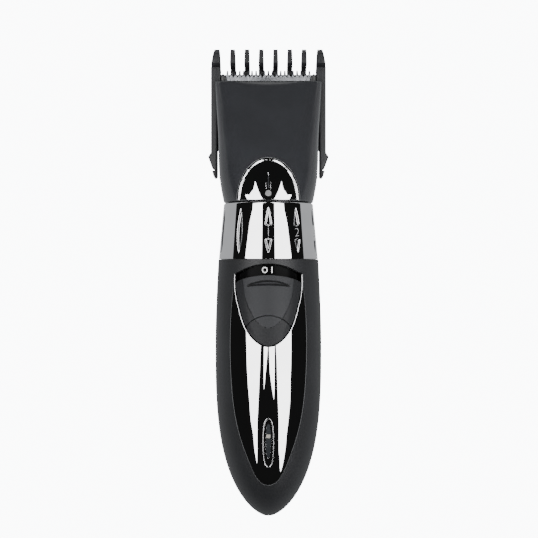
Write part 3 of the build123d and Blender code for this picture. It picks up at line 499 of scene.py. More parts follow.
def repeated(carrier, item, count, first, spacing, slot, soften=30):
    """The carrier mesh with a row of the item's copies; places are in millimetres from the item's own."""
    host, single = linked("row_carrier", carrier), linked("row_item", item)
    change = host.modifiers.new("row", "NODES")
    change.node_group = REPEAT
    values = {"Piece": single, "Count": count, "First Place": [v * MM for v in first],
              "Spacing": [v * MM for v in spacing], "Finish": FINISHES[slot]}
    for socket in REPEAT.interface.items_tree:
        if socket.item_type == "SOCKET" and socket.in_out == "INPUT" and socket.name in values:
            change[socket.identifier] = values[socket.name]
    mesh = evaluated(host, soften)
    bpy.data.objects.remove(single)
    return mesh


# ---- finishes ----
def node_group(name, inputs, outputs):
    group = bpy.data.node_groups.new(name, "ShaderNodeTree")
    for label, kind, value in inputs:
        socket = group.interface.new_socket(label, in_out="INPUT", socket_type="NodeSocket" + kind)
        if value is not None:
            socket.default_value = value
    for label in outputs:
        group.interface.new_socket(label, in_out="OUTPUT", socket_type="NodeSocketFloat")
    return group, group.nodes.new("NodeGroupInput"), group.nodes.new("NodeGroupOutput")


def moulded_grain():
    """Fine pitting, slow mottling and soft handling marks over a moulded surface."""
    group, given, result = node_group(
        "Moulded Grain", [("Place", "Vector", None), ("Grain Scale", "Float", 3000.0)],
        ["Height", "Mottle", "Smudge"])
    link = group.links.new
    for label, scale, detail in (("Height", None, 3.0), ("Mottle", 70.0, 4.0), ("Smudge", 24.0, 5.0)):
        noise = group.nodes.new("ShaderNodeTexNoise")
        noise.inputs["Detail"].default_value = detail
        if scale is None:
            link(given.outputs["Grain Scale"], noise.inputs["Scale"])
        else:
            noise.inputs["Scale"].default_value = scale
        link(given.outputs["Place"], noise.inputs["Vector"])
        link(noise.outputs["Fac"], result.inputs[label])
    return group


def brushed_lines():
    """Fine lines along one way, from grinding or rolling, with slow bands of shade."""
    group, given, result = node_group(
        "Brushed Lines",
        [("Place", "Vector", None), ("Line Scale", "Float", 900.0), ("Stretch", "Vector", (1.0, 0.02, 1.0))],
        ["Height", "Streak", "Mottle"])
    link = group.links.new
    squeeze = group.nodes.new("ShaderNodeVectorMath")
    squeeze.operation = "MULTIPLY"
    link(given.outputs["Place"], squeeze.inputs[0])
    link(given.outputs["Stretch"], squeeze.inputs[1])
    for label, share, detail in (("Height", 1.0, 2.0), ("Streak", 0.25, 3.0)):
        noise, scale = group.nodes.new("ShaderNodeTexNoise"), group.nodes.new("ShaderNodeMath")
        scale.operation = "MULTIPLY"
        scale.inputs[1].default_value = share
        link(given.outputs["Line Scale"], scale.inputs[0])
        link(scale.outputs[0], noise.inputs["Scale"])
        noise.inputs["Detail"].default_value = detail
        link(squeeze.outputs[0], noise.inputs["Vector"])
        link(noise.outputs["Fac"], result.inputs[label])
    slow = group.nodes.new("ShaderNodeTexNoise")
    slow.inputs["Scale"].default_value = 45.0
    link(given.outputs["Place"], slow.inputs["Vector"])
    link(slow.outputs["Fac"], result.inputs["Mottle"])
    return group


GRAIN, BRUSHED = moulded_grain(), brushed_lines()


def finish(name, dark, light, roughness, metal=0.0, grain=3000.0, depth=0.02, lines=None, coat=0.0,
           specular=0.5, panel=None, painted_crease_shade=None):
    """A material whose colour, roughness and surface vary over the piece; it can lighten a marked panel and
    paint shade into marked creases.
    """
    material = bpy.data.materials.new(name)
    material.use_nodes = True
    nodes, link = material.node_tree.nodes, material.node_tree.links.new
    shader = nodes["Principled BSDF"]
    place = nodes.new("ShaderNodeTexCoord")
    pattern = nodes.new("ShaderNodeGroup")
    pattern.node_tree = BRUSHED if lines else GRAIN
    link(place.outputs["Object"], pattern.inputs["Place"])
    if lines:
        pattern.inputs["Line Scale"].default_value = grain
        pattern.inputs["Stretch"].default_value = lines
    else:
        pattern.inputs["Grain Scale"].default_value = grain
    colour = nodes.new("ShaderNodeMix")
    colour.data_type = "RGBA"
    colour.inputs[6].default_value, colour.inputs[7].default_value = (*dark, 1), (*light, 1)
    ramp = nodes.new("ShaderNodeMapRange")
    ramp.inputs["From Min"].default_value, ramp.inputs["From Max"].default_value = 0.35, 0.65
    ramp.interpolation_type = "SMOOTHSTEP"
    link(pattern.outputs["Mottle"], ramp.inputs["Value"])
    link(ramp.outputs["Result"], colour.inputs[0])
    shade = colour.outputs[2]
    # The point attributes mix in a lighter colour on the raised panel and a near-black painted shade in the
    # creases.
    for label, marked in (("panel", panel), ("painted_crease_shade", painted_crease_shade)):
        if marked:
            attribute, blend = nodes.new("ShaderNodeAttribute"), nodes.new("ShaderNodeMix")
            attribute.attribute_name = label
            blend.data_type = "RGBA"
            link(attribute.outputs["Fac"], blend.inputs[0])
            link(shade, blend.inputs[6])
            blend.inputs[7].default_value = (*marked, 1)
            shade = blend.outputs[2]
    link(shade, shader.inputs["Base Color"])
    rough = nodes.new("ShaderNodeMapRange")
    rough.interpolation_type = "SMOOTHSTEP"
    rough.inputs["From Min"].default_value, rough.inputs["From Max"].default_value = 0.3, 0.7
    rough.inputs["To Min"].default_value, rough.inputs["To Max"].default_value = roughness
    link(pattern.outputs["Streak" if lines else "Smudge"], rough.inputs["Value"])
    link(rough.outputs["Result"], shader.inputs["Roughness"])
    if depth:
        bump = nodes.new("ShaderNodeBump")
        bump.inputs["Strength"].default_value = 0.6
        bump.inputs["Distance"].default_value = depth * MM
        link(pattern.outputs["Height"], bump.inputs["Height"])
        link(bump.outputs["Normal"], shader.inputs["Normal"])
    shader.inputs["Metallic"].default_value = metal
    shader.inputs["Specular IOR Level"].default_value = specular
    shader.inputs["Coat Weight"].default_value = coat
    shader.inputs["Coat Roughness"].default_value = 0.05
    return material


FINISHES = {
    "soft_touch": finish(
        "soft_touch_black", (0.0074, 0.0077, 0.0090), (0.0100, 0.0104, 0.0121), (0.47, 0.54),
        grain=2600.0, depth=0.010, specular=0.42),
    "head_plastic": finish(
        "head_satin_grey", (0.0225, 0.0233, 0.0262), (0.0252, 0.0261, 0.0294), (0.215, 0.235),
        grain=3200.0, depth=0.004, specular=0.5),
    "dark_chrome": finish(
        "dark_chrome", (0.60, 0.60, 0.61), (0.64, 0.64, 0.65), (0.014, 0.026),
        metal=1.0, grain=2500.0, depth=0.0),
    "gloss_black": finish(
        "gloss_black_inlay", (0.0022, 0.0022, 0.0024), (0.0034, 0.0034, 0.0036), (0.16, 0.22),
        grain=1500.0, depth=0.0, specular=0.02),
    "switch_plastic": finish(
        "switch_satin", (0.0085, 0.0088, 0.0102), (0.0108, 0.0112, 0.0128), (0.50, 0.58),
        grain=3200.0, depth=0.006, specular=0.22, panel=(0.0205, 0.0212, 0.0236),
        # painted shade in the creases beside the thumb ridge
        painted_crease_shade=(0.0012, 0.0012, 0.0014)),
    "comb_plastic": finish(
        "comb_black", (0.0105, 0.0109, 0.0126), (0.0138, 0.0143, 0.0163), (0.38, 0.46),
        grain=2200.0, depth=0.006, specular=0.3),
    "black_plastic": finish(
        "inner_black_plastic", (0.012, 0.012, 0.013), (0.018, 0.018, 0.019), (0.4, 0.5),
        grain=1800.0, depth=0.015),
    "lens": finish(
        "smoked_lens", (0.016, 0.018, 0.020), (0.024, 0.027, 0.030), (0.22, 0.30),
        depth=0.0, specular=0.25),
    "blade_steel": finish(
        "ground_blade_steel", (0.19, 0.194, 0.208), (0.27, 0.275, 0.293), (0.26, 0.38),
        metal=1.0, grain=2600.0, depth=0.004, lines=(1.0, 0.03, 1.0)),
    "steel": finish(
        "plain_steel", (0.42, 0.42, 0.43), (0.55, 0.55, 0.56), (0.24, 0.38),
        metal=1.0, grain=1600.0, depth=0.004, lines=(0.05, 1.0, 1.0)),
    "spring_steel": finish(
        "spring_steel", (0.33, 0.34, 0.36), (0.46, 0.47, 0.50), (0.22, 0.32),
        metal=1.0, grain=1500.0, depth=0.003, lines=(1.0, 0.1, 1.0)),
    "brass": finish(
        "turned_brass", (0.62, 0.42, 0.17), (0.74, 0.53, 0.25), (0.18, 0.30),
        metal=1.0, grain=1600.0, depth=0.003, lines=(0.05, 1.0, 0.05)),
    "nylon": finish(
        "natural_nylon", (0.56, 0.54, 0.49), (0.66, 0.64, 0.58), (0.38, 0.5),
        grain=1500.0, depth=0.012),
    "board": finish(
        "board_green", (0.010, 0.065, 0.030), (0.016, 0.085, 0.040), (0.32, 0.44),
        grain=1400.0, depth=0.008, coat=0.2),
    "component": finish(
        "component_grey", (0.03, 0.03, 0.032), (0.09, 0.09, 0.095), (0.35, 0.5),
        grain=1200.0, depth=0.01),
    "cell_sleeve": finish(
        "cell_sleeve_blue", (0.018, 0.07, 0.20), (0.028, 0.09, 0.25), (0.22, 0.34),
        grain=900.0, depth=0.01, coat=0.3),
    "magnet": finish(
        "ferrite_grey", (0.06, 0.058, 0.056), (0.10, 0.098, 0.094), (0.55, 0.7),
        grain=1300.0, depth=0.03),
    "lead": finish(
        "lead_red", (0.40, 0.018, 0.014), (0.50, 0.03, 0.02), (0.32, 0.45),
        grain=1200.0, depth=0.008),
    "seal": finish(
        "seal_rubber", (0.008, 0.008, 0.009), (0.014, 0.014, 0.015), (0.55, 0.7),
        grain=1500.0, depth=0.02),
}
PRINT = finish("white_print", (0.80, 0.80, 0.80), (0.88, 0.88, 0.88), (0.4, 0.5), depth=0.0)
LED_BAR = finish("pale_led_bar", (0.20, 0.19, 0.17), (0.34, 0.32, 0.28), (0.35, 0.45), depth=0.0)
POINTER_SATIN = finish("pointer_satin", (0.15, 0.15, 0.155), (0.20, 0.20, 0.205), (0.40, 0.5), depth=0.004)
NUMERAL_PRINT = finish("numeral_print", (0.30, 0.30, 0.31), (0.40, 0.40, 0.41), (0.4, 0.5), depth=0.0)
DARK_NYLON = finish("dark_nylon", (0.010, 0.010, 0.011), (0.015, 0.015, 0.016), (0.45, 0.55), depth=0.01)
INSIDE_NODES = {
    "black_plastic": ("slider_stem", "chassis", "switch_module", "charging_jack", "adjuster_fork"),
    "steel": ("board_screws", "battery_contacts", "motor_can", "motor_armature", "motor_shaft",
              "detent_ball", "blade_screws"),
    "spring_steel": ("detent_spring", "blade_spring"),
    "brass": ("jack_pin", "motor_bearing"),
    "nylon": ("motor_end_cap", "eccentric_cam", "cam_ring", "ring_washer", "blade_driver", "spring_clamp"),
    "board": ("circuit_board",),
    "component": ("board_components", "status_led"),
    "cell_sleeve": ("battery_cell",),
    "magnet": ("motor_magnets",),
    "lead": ("lead_wires",),
    "seal": ("neck_seal",),
}
for slot, names in INSIDE_NODES.items():
    for name in names:
        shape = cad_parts[name]
        if not shape.material_slots:
            shape.data.materials.append(FINISHES[slot])
        for holder in shape.material_slots:
            holder.material = FINISHES[slot]
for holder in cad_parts["ring_washer"].material_slots:
    holder.material = DARK_NYLON


# ---- grip ----
HALF_TURN = UNROLL * math.pi / 2
WALK_START, WALK_END = np.interp([TAIL_START, GRIP_END], TAIL_STEPS, TAIL_WALK)
HOUSING_WALL = 1.2
SEAM_EASE = 0.12            # rounding where two outer pieces meet
TONGUE_TIP, TONGUE_END, TONGUE_HALF = 65.8, 92.06, 12.0     # the switch's tongue inside the trim
TRIM_TIP, TRIM_HALF = 14.2, 12.6
TRIM_SIDE = smooth_run([(0, TRIM_TIP), (6.76, 22.2), (11.77, 38.0), (13.77, 56.1), (13.95, 70.0),
                        (13.4, 80.5), (12.7, 88.0), (TRIM_HALF, TONGUE_END)], (1, 0), (0, 1))
OPENING_SIDE = smooth_run([(0, TONGUE_TIP), (5.16, 68.2), (8.62, 73.3), (10.77, 80.2), (12.05, 87.2),
                           (TONGUE_HALF, TONGUE_END)], (1, 0), (0, 1))
OPENING_TOP = bow(TONGUE_HALF, TONGUE_END, 95.7)
CUTOUT_HORN = np.array([(TRIM_HALF, TONGUE_END), (12.3, 92.3), (12.0, 92.5)])
TRIM_HORN = np.array([(TRIM_HALF, TONGUE_END), (12.33, 92.14), (12.08, 92.1)])


def upward_part(run, low, high):
    return run[(run[:, 1] >= low) & (run[:, 1] <= high)]


def grip_rectangle(middle):
    """The unrolled outline of one half of the grip."""
    seam = 0.03
    low, high = middle - HALF_TURN + seam, middle + HALF_TURN - seam
    corners = [(low, WALK_START), (high, WALK_START), (high, WALK_END), (low, WALK_END)]
    runs = []
    for start, end in zip(corners, corners[1:] + corners[:1]):
        share = np.linspace(0, 1, max(4, int(math.dist(start, end) / 1.2)))[:, None]
        runs.append(np.array(start) * (1 - share) + np.array(end) * share)
    return rounded_loop(runs, SEAM_EASE, 1.1)


def grip_cutout(gap):
    """The opening in the grip for the trim and the switch."""
    sides = [TRIM_SIDE, CUTOUT_HORN, OPENING_TOP[3:-3], mirrored(CUTOUT_HORN), mirrored(TRIM_SIDE)]
    return on_grip(grown(rounded_loop(sides, 0.15, 0.45), gap))


def round_loop(x, station, radius, count=40):
    turn = np.linspace(0, 2 * math.pi, count, endpoint=False)
    return np.stack([x + radius * np.cos(turn), station + radius * np.sin(turn)], axis=1)


def rear_hole(station, radius):
    """A round hole in the grip's back, as an outline of the unrolled grip."""
    loop = round_loop(0.0, station, radius)
    angle = math.pi - np.arcsin(loop[:, 0] / grip_radius(loop[:, 1]))
    flat = np.stack([UNROLL * angle, np.interp(loop[:, 1], TAIL_STEPS, TAIL_WALK)], axis=1)
    return even_loop(flat, 0.4)


def housing_half(name, middle, holes, extra=()):
    body = plate(grip_base, grip_rectangle(middle), holes, bottom=-HOUSING_WALL, edge=SEAM_EASE, step=1.1)
    plate_piece(name, "housing", "soft_touch", body, *extra)


SCREW_STATIONS = (20.0, 80.5)
WELL_MOUTHS = (4.3, 0.9)    # height where each screw well comes out of the grip's round back
WELL_RADIUS, WELL_OUTER, WELL_SEAT, WELL_TOP, SHANK_HOLE = 2.47, 3.2, 9.0, 10.4, 1.35


def screw_well(station, mouth):
    points, faces = lathe([(WELL_RADIUS, mouth), (WELL_RADIUS, WELL_SEAT), (SHANK_HOLE, WELL_SEAT),
                           (SHANK_HOLE, WELL_TOP), (WELL_OUTER, WELL_TOP), (WELL_OUTER, mouth)])
    return points + [0, station, 0], [face[::-1] for face in faces]


housing_half("front_housing", 0.0, [grip_cutout(0.06)])
housing_half("rear_housing", math.pi * UNROLL,
             [rear_hole(station, WELL_RADIUS) for station in SCREW_STATIONS],
             [screw_well(*place) for place in zip(SCREW_STATIONS, WELL_MOUTHS)])

# ---- trim and lens ----
TRIM_RISE = 0.35            # how far the trim stands proud of the grip
BEZEL_RISE = TRIM_RISE + 0.05
LENS_DROP = 0.12
BEZEL = oblong(1.75, 21.7, 39.6)
LENS = oblong(0.92, 24.85, 37.55)
LED_CORNERS = [(-0.72, 32.35), (0.72, 32.35), (0.76, 33.7), (-0.76, 33.7)]


def trim_outline(gap):
    inner = OPENING_SIDE[::-1][1:-1] + [0.05, 0]
    sides = [TRIM_SIDE, TRIM_HORN, inner, mirrored(inner), mirrored(TRIM_HORN), mirrored(TRIM_SIDE)]
    return on_grip(grown(rounded_loop(sides, 0.1, 0.35), gap))


def trim_edge(points):
    """Rounding of the trim's edges, smaller where it narrows beside the switch."""
    station = front_place(points)[:, 1]
    return 0.29 - 0.14 * ease(station, 70.0, 86.0)


def bezel_edge(points):
    """Rounded outside, crisp beside the lens."""
    return np.where(inside(front_place(points), grown(LENS, 0.3)), 0.03, 0.10)


def corner_runs(corners):
    """The straight runs round a closed outline."""
    return [np.array(pair) for pair in zip(corners, corners[1:] + corners[:1])]


def front_trim():
    field = plate(grip_base, trim_outline(-0.03), [on_grip(grown(BEZEL, 0.03))], top=TRIM_RISE, bottom=-0.9,
                  edge=trim_edge, step=0.8, rows=6)
    bezel = plate(grip_base, on_grip(BEZEL), [on_grip(grown(LENS, 0.02))], top=BEZEL_RISE, bottom=-0.9,
                  edge=bezel_edge, step=0.4, rows=6)
    plate_piece("front_trim", "housing", "dark_chrome", field, bezel)


def status_lens():
    body = plate(grip_base, on_grip(LENS), top=TRIM_RISE - LENS_DROP, bottom=-0.8, edge=0.08, step=0.3)
    plate_piece("status_lens", "housing", "lens", body)
    glow = plate(grip_base, on_grip(rounded_loop(corner_runs(LED_CORNERS), 0.2, 0.12)),
                 top=TRIM_RISE - LENS_DROP + 0.02, edge=0.02, bottom=0.0, step=0.3)
    plate_piece("status_glow", "housing", "component", glow, material=LED_BAR)


front_trim()
status_lens()

# ---- switch ----
SPLIT = bow(8.3, 72.6, 76.9)        # gap between the slider and the fixed tip of the tongue
SLIDER_TOP = bow(11.6, 89.3, 91.6)
RIDGE_HALF = 7.67
WELL_DROP, WINDOW_DROP, MARK_DROP = 2.1, 1.85, 1.80         # depths below the grip's skin
PANEL_EDGE = np.array([
    # station, half-width of the raised panel
    (71.9, -1.0), (72.4, 0.0), (72.6, 1.15), (73.0, 2.1), (73.6, 3.0), (74.6, 4.1),
    (76.0, 5.2), (80.0, 7.25), (84.3, 8.65), (89.6, 9.3), (92.0, 9.45),
])
TONGUE_EDGE = np.array([
    # station, half-width where the tongue's outer band ends
    (65.8, 0.5), (68.2, 5.16), (73.3, 8.62), (80.2, 10.77), (87.2, 12.05), (92.1, 12.0),
])


def half_at(edge, spot):
    return np.interp(spot[:, 1], edge[:, 0], edge[:, 1])


def panel_share(spot):
    """1 on the switch's raised inner panel, from front-view points, easing to 0 round it."""
    return ease(half_at(PANEL_EDGE, spot) - np.abs(spot[:, 0]), -0.2, 0.2)


def ridge_lines(spot):
    """The stations of the two arcs that bound the thumb ridge."""
    share = (spot[:, 0] / RIDGE_HALF) ** 2
    return 88.15 - 0.5 * share, 89.4 - 1.75 * share


def ridge_crease(spot):
    """1 in the two fine creases beside the thumb ridge; it sets their depth and where the painted shade goes.
    """
    low_line, high_line = ridge_lines(spot)
    deep = sum(np.exp(-((spot[:, 1] - line) / 0.2) ** 2) for line in (low_line - 0.05, high_line + 0.05))
    return np.clip(deep, 0, 1) * ease(8.2 - np.abs(spot[:, 0]), 0.0, 1.2)


def slider_rise(points):
    """Height of the tongue: outer band falling away, raised panel and the thumb ridge."""
    spot = front_place(points)
    away = ease(np.abs(spot[:, 0]) / half_at(TONGUE_EDGE, spot), 0.72, 1.0) * ease(spot[:, 1], 66.5, 72.0)
    rise = 0.30 - 0.22 * away + 0.14 * panel_share(spot)
    low_line, high_line = ridge_lines(spot)
    within = np.minimum(high_line - spot[:, 1], spot[:, 1] - low_line)
    return rise + 0.42 * ease(within, 0.0, 0.5) - 0.45 * ridge_crease(spot)


def with_shades(mesh):
    """Marks the raised panel, for the material to lighten, and the ridge's creases, for painted shade."""
    spots = np.array([v.co for v in mesh.vertices]) / MM
    spots[:, 1] += SHIFT
    upper = (spots[:, 2] > AXIS + 12).astype(float)
    for label, share in (("panel", panel_share), ("painted_crease_shade", ridge_crease)):
        layer = mesh.attributes.new(label, "FLOAT", "POINT")
        layer.data.foreach_set("value", (share(spots[:, :2]) * upper).astype(np.float32))
    return mesh


def power_slider():
    side = upward_part(OPENING_SIDE, 72.75, 89.2) - [0.12, 0]
    loop = rounded_loop([SPLIT[::-1][2:-2] + [0, 0.06], side, SLIDER_TOP[2:-2], mirrored(side)], 0.3, 0.3)
    body = plate(grip_base, on_grip(loop), top=slider_rise, bottom=-1.2, edge=0.2, step=0.2)
    plate_piece("power_slider", "switch", "switch_plastic", body, finishing=with_shades)


def switch_surround():
    """The fixed tip of the tongue, and the floor of the well that the slider runs in."""
    side = upward_part(OPENING_SIDE, 65.0, 72.35) - [0.1, -0.08]
    tip_loop = rounded_loop([np.vstack([mirrored(side)[:-1], side]), SPLIT[2:-2] - [0, 0.07]], 0.25, 0.3)
    tip = plate(grip_base, on_grip(tip_loop), top=slider_rise, bottom=-2.3, edge=0.22, step=0.4)
    well_loop = rounded_loop([OPENING_SIDE, OPENING_TOP[2:-2], mirrored(OPENING_SIDE)], 0.25, 0.5)
    well = plate(grip_base, on_grip(grown(well_loop, -0.04)), top=-WELL_DROP, bottom=-3.2, edge=0.1, step=1.0)
    plate_piece("switch_surround", "housing", "switch_plastic", tip, well, finishing=with_shades)


def label_window():
    brow = upward_part(OPENING_SIDE, 86.6, TONGUE_END) - [0.2, 0]
    foot = np.array([(-11.8, 86.4), (-6.0, 86.3), (0, 86.3), (6.0, 86.3), (11.8, 86.4)])
    loop = rounded_loop([foot, brow, OPENING_TOP[3:-3] - [0, 0.15], mirrored(brow)], 0.3, 0.4)
    body = plate(grip_base, on_grip(loop), top=-WINDOW_DROP, bottom=-WELL_DROP, edge=0.1, step=0.8)
    plate_piece("label_window", "housing", "gloss_black", body)


def switch_mark():
    """A plain ring and bar, for off and on."""
    circle = [on_grip(round_loop(-1.45, 93.55, radius)) for radius in (1.15, 0.75)]
    off = plate(grip_base, circle[0], circle[1:], top=-MARK_DROP, bottom=-1.9, edge=0.02, step=0.5)
    bar = rounded_loop(corner_runs([(1.2, 92.4), (1.7, 92.4), (1.7, 94.7), (1.2, 94.7)]), 0.08, 0.15)
    on = plate(grip_base, on_grip(bar), top=-MARK_DROP, bottom=-1.9, edge=0.02, step=0.5)
    plate_piece("switch_mark", "housing", "gloss_black", off, on, material=PRINT)


power_slider()
switch_surround()
label_window()
switch_mark()

# ---- adjusting ring ----
RING_LOW, RING_HIGH, RING_WIDE, RING_NARROW, RING_BORE = 97.5, 118.5, 18.8, 16.9, 14.3
RING_TOP_BEND, RING_FOOT_BEND = 0.4, 0.12
GROOVES, GROOVE_TURN = 10, 36               # how many grooves, and the degrees between two
NUMBERS = 5
GROOVE_DEPTH, GROOVE_FLANK = 0.42, 0.62
NUMERAL_STATION, NUMERAL_HEIGHT = 107.3, 3.0


def ring_radius(station):
    return RING_WIDE + (RING_NARROW - RING_WIDE) * (station - RING_LOW) / (RING_HIGH - RING_LOW)


def mark_width(station, numbered):
    """Half the width of a ring groove at each station."""
    if not numbered:
        share = np.clip((station - 99.5) / 16.9, 0, 1)
        return 1.25 * np.sin(math.pi * share ** 0.9) ** 0.8
    upper = 1.3 * np.clip((116.4 - station) / 6.0, 0, 1) ** 0.62 * ease(station, 109.4, 110.2)
    lower = 1.3 * np.clip((station - 99.6) / 4.6, 0, 1) ** 0.75 * ease(-station, -105.2, -104.4)
    return np.maximum(upper, lower)


def ring_section():
    """The ring's outline as (radius, station), with no radius on its grooved face."""
    corner = np.linspace(0, math.pi / 2, 6)[:-1]
    foot, top = ring_radius(RING_LOW), ring_radius(RING_HIGH) - RING_TOP_BEND
    section = [(RING_BORE, RING_LOW)]
    section += [(foot + RING_FOOT_BEND * (math.sin(a) - 1), RING_LOW + RING_FOOT_BEND * (1 - math.cos(a)))
                for a in corner]
    section += [(None, station)
                for station in np.arange(RING_LOW + RING_FOOT_BEND, RING_HIGH - RING_TOP_BEND + 0.01, 0.2)]
    section += [(top + RING_TOP_BEND * math.cos(a), RING_HIGH + RING_TOP_BEND * (math.sin(a) - 1))
                for a in corner[1:]]
    return section + [(top, RING_HIGH), (RING_BORE, RING_HIGH)]


def adjusting_ring():
    offsets = np.concatenate([np.arange(-5.4, 5.41, 0.3), np.arange(7.2, 29, 2.4)])    # fine over a groove
    sectors = np.repeat(np.arange(GROOVES), len(offsets))
    angles = np.radians(GROOVE_TURN * sectors + np.tile(offsets, GROOVES))
    nearest = sectors + (np.degrees(angles) - GROOVE_TURN * sectors > GROOVE_TURN / 2)
    middle = np.radians(GROOVE_TURN) * nearest
    numbered = nearest % GROOVES < NUMBERS
    points = []
    for radius, station in ring_section():
        reach = np.full(len(angles), radius or ring_radius(station))
        if radius is None:
            width = np.where(numbered, mark_width(station, True), mark_width(station, False))
            across = np.abs(angles - middle) * reach
            reach -= np.where(width > 0.02, ease((width - across) / GROOVE_FLANK, 0, 1), 0) * GROOVE_DEPTH
        points.append(np.stack([reach * np.sin(angles), np.full(len(angles), station),
                                AXIS + reach * np.cos(angles)], axis=1))
    points, faces = wrapped_sheet(points)
    mesh = make_mesh("adjusting_ring", points, faces, soften=40)
    piece("adjusting_ring", mesh, "ring", "dark_chrome")


def flat_numeral(number):
    """A number as a thin slab in the flat, about its own middle."""
    curve = bpy.data.curves.new("numeral_text", "FONT")
    curve.body, curve.align_x, curve.extrude, curve.offset = str(number), "CENTER", 0.02, -0.026
    mesh = evaluated(linked("numeral_text", curve))
    flat = np.array([v.co for v in mesh.vertices])
    faces = [tuple(face.vertices) for face in mesh.polygons]
    bpy.data.meshes.remove(mesh)
    low, high = flat.min(axis=0), flat.max(axis=0)
    middle, size = (low + high) / 2, NUMERAL_HEIGHT / (high[1] - low[1])
    return (flat - [middle[0], middle[1], 0]) * [size, size, 1], faces


def ring_numerals():
    """Plain numbers 1 to 5, wrapped round the ring just proud of its surface."""
    parts = []
    for index in range(NUMBERS):
        flat, faces = flat_numeral(index + 1)
        station = NUMERAL_STATION + flat[:, 1]
        lift = ring_radius(station) + np.where(flat[:, 2] > 0, 0.05, -0.12)
        angle = math.radians(GROOVE_TURN * index) + flat[:, 0] / ring_radius(station)
        parts.append((np.stack([lift * np.sin(angle), station, AXIS + lift * np.cos(angle)], axis=1), faces))
    points, faces, _ = joined(*parts)
    piece("ring_numerals", make_mesh("ring_numerals", points, faces, soften=30), "ring", "dark_chrome",
          NUMERAL_PRINT)


adjusting_ring()
ring_numerals()

# ---- head ----
HEAD_START, HEAD_END = SECTIONS[0, 0], SECTIONS[-1, 0]
HEAD_WALL, RIM_BEND = 1.8, 0.55
BROW_HALF, BROW_DIP = 16.9, 0.4             # shallow scoop in the head's front lip, over the blades
# Both are blocks: x, station and height, each from low to high.
BASE_OPENING = (-18.6, 18.6, 152.7, 175.0, -2.0, 6.1)
ARM_RECESS = (19.62, 26.0, 128.5, 175.0, -2.0, 9.3)
RAIL_LOW, RAIL_HIGH = 5.0, 6.4
RAIL = [(13.2, 129.2), (19.2, 129.2), (19.2, 140.0), (20.5, 140.0), (20.5, 166.0), (18.8, 166.0),
        (18.8, 152.9), (17.2, 151.0), (15.2, 140.0)]


def section_loop(half, low, high, corner):
    """A rounded rectangle round the head, anticlockwise from the lower left."""
    corners = [(half - corner, low + corner, -90), (half - corner, high - corner, 0),
               (-half + corner, high - corner, 90), (-half + corner, low + corner, 180)]
    points = []
    for i, (x, z, start) in enumerate(corners):
        turn = np.radians(start + np.linspace(0, 90, 13))
        points += list(np.stack([x + corner * np.cos(turn), z + corner * np.sin(turn)], axis=1))
        after = corners[(i + 1) % 4]
        share = np.linspace(0, 1, 30 if i in (1, 3) else 10)[1:-1, None]
        leave = np.array(points[-1])
        turn = math.radians(after[2])
        arrive = np.array([after[0] + corner * math.cos(turn), after[1] + corner * math.sin(turn)])
        points += list(leave * (1 - share) + arrive * share)
    return np.array(points)


def head_row(station, inset=0.0, shown=None):
    """The head's outline at a station, moved in by the inset, and placed at the shown station."""
    shown = station if shown is None else shown
    half, low, high, corner = [v.item() for v in head_section(np.array([min(station, HEAD_END)]))]
    loop = section_loop(half - inset, low + inset, high - inset, max(corner - inset, 0.9))
    points = np.column_stack([loop[:, 0], np.full(len(loop), shown), loop[:, 1]])
    if inset < 1.5:
        share = np.abs(points[:, 0]) / BROW_HALF
        arc = HEAD_END - 2.3 * (1 - np.clip(share, 0, 1) ** 2)
        front = ease(points[:, 2], AXIS - 8, AXIS - 5)
        points[:, 2] -= BROW_DIP * ease(station - arc, 0, 2.4) * front * (share < 1)
    return points


def head_shell():
    """The head as one closed skin: up the outside, over the lip and back down the inside."""
    outside = np.concatenate([np.arange(119.2, 155, 0.9)[1:], np.arange(155, 165.7, 0.45), [165.75]])
    rows = [head_row(HEAD_START, 0.3), head_row(118.95, 0.12, 118.98), head_row(119.05, 0.0, 119.15)]
    rows += [head_row(station) for station in outside]
    rows += [head_row(HEAD_END, RIM_BEND * (1 - math.cos(a)), HEAD_END - RIM_BEND * (1 - math.sin(a)))
             for a in np.linspace(0, math.pi / 2, 6)[1:]]
    rows += [head_row(HEAD_END, HEAD_WALL - 0.15), head_row(HEAD_END - 0.2, HEAD_WALL)]
    rows += [head_row(station, HEAD_WALL) for station in np.linspace(165, 119.5, 24)]
    return make_mesh("head_housing", *wrapped_sheet(rows + [head_row(HEAD_START, HEAD_WALL)]))


def head_housing():
    """The head's skin, cut open for the blade base and beside the comb's arms, with the comb's rails."""
    cuts = [make_mesh("cut", *block(*BASE_OPENING))]
    rails = []
    for turned in (1, -1):
        cuts.append(make_mesh("cut", *block(*ARM_RECESS, turned)))
        outline = np.array(RAIL) * [turned, 1]
        rails.append(make_mesh("rail", *prism(outline, RAIL_LOW, RAIL_HIGH), bevel=0.2))
    head = carved(carved(head_shell(), cuts, soften=33), rails, "UNION", soften=33)
    piece("head_housing", head, "housing", "head_plastic")


head_housing()

# ---- arch on the head ----
ARCH_WIDE, ARCH_TALL, ARCH_FOOT = 11.6, 16.2, HEAD_START
POINTER_STATION, POINTER_RADIUS = 121.5, 1.12


def arch_edge_distance(points):
    x, s = points[:, 0], points[:, 1] - ARCH_FOOT
    share = np.sqrt((x / ARCH_WIDE) ** 2 + (s / ARCH_TALL) ** 2)
    slope = np.sqrt((x / ARCH_WIDE ** 2) ** 2 + (s / ARCH_TALL ** 2) ** 2) / np.maximum(share, 1e-6)
    return (1 - share) / np.maximum(slope, 1e-6)


def arch_rise(points):
    """Height of the arch over the head: proud rim band, shallow field and centre groove."""
    rim = arch_edge_distance(points)
    within = ease(rim, 0.8, 1.15)
    rise = 0.38 - within * (0.22 + 0.08 * (1 - ease(rim, 1.1, 4.4)))
    x, s = points[:, 0], points[:, 1]
    along = ease(s, 122.8, 123.6) * (1 - ease(s, 127.6, 130.0))
    return rise - 0.20 * np.exp(-(x / 0.42) ** 2) * along


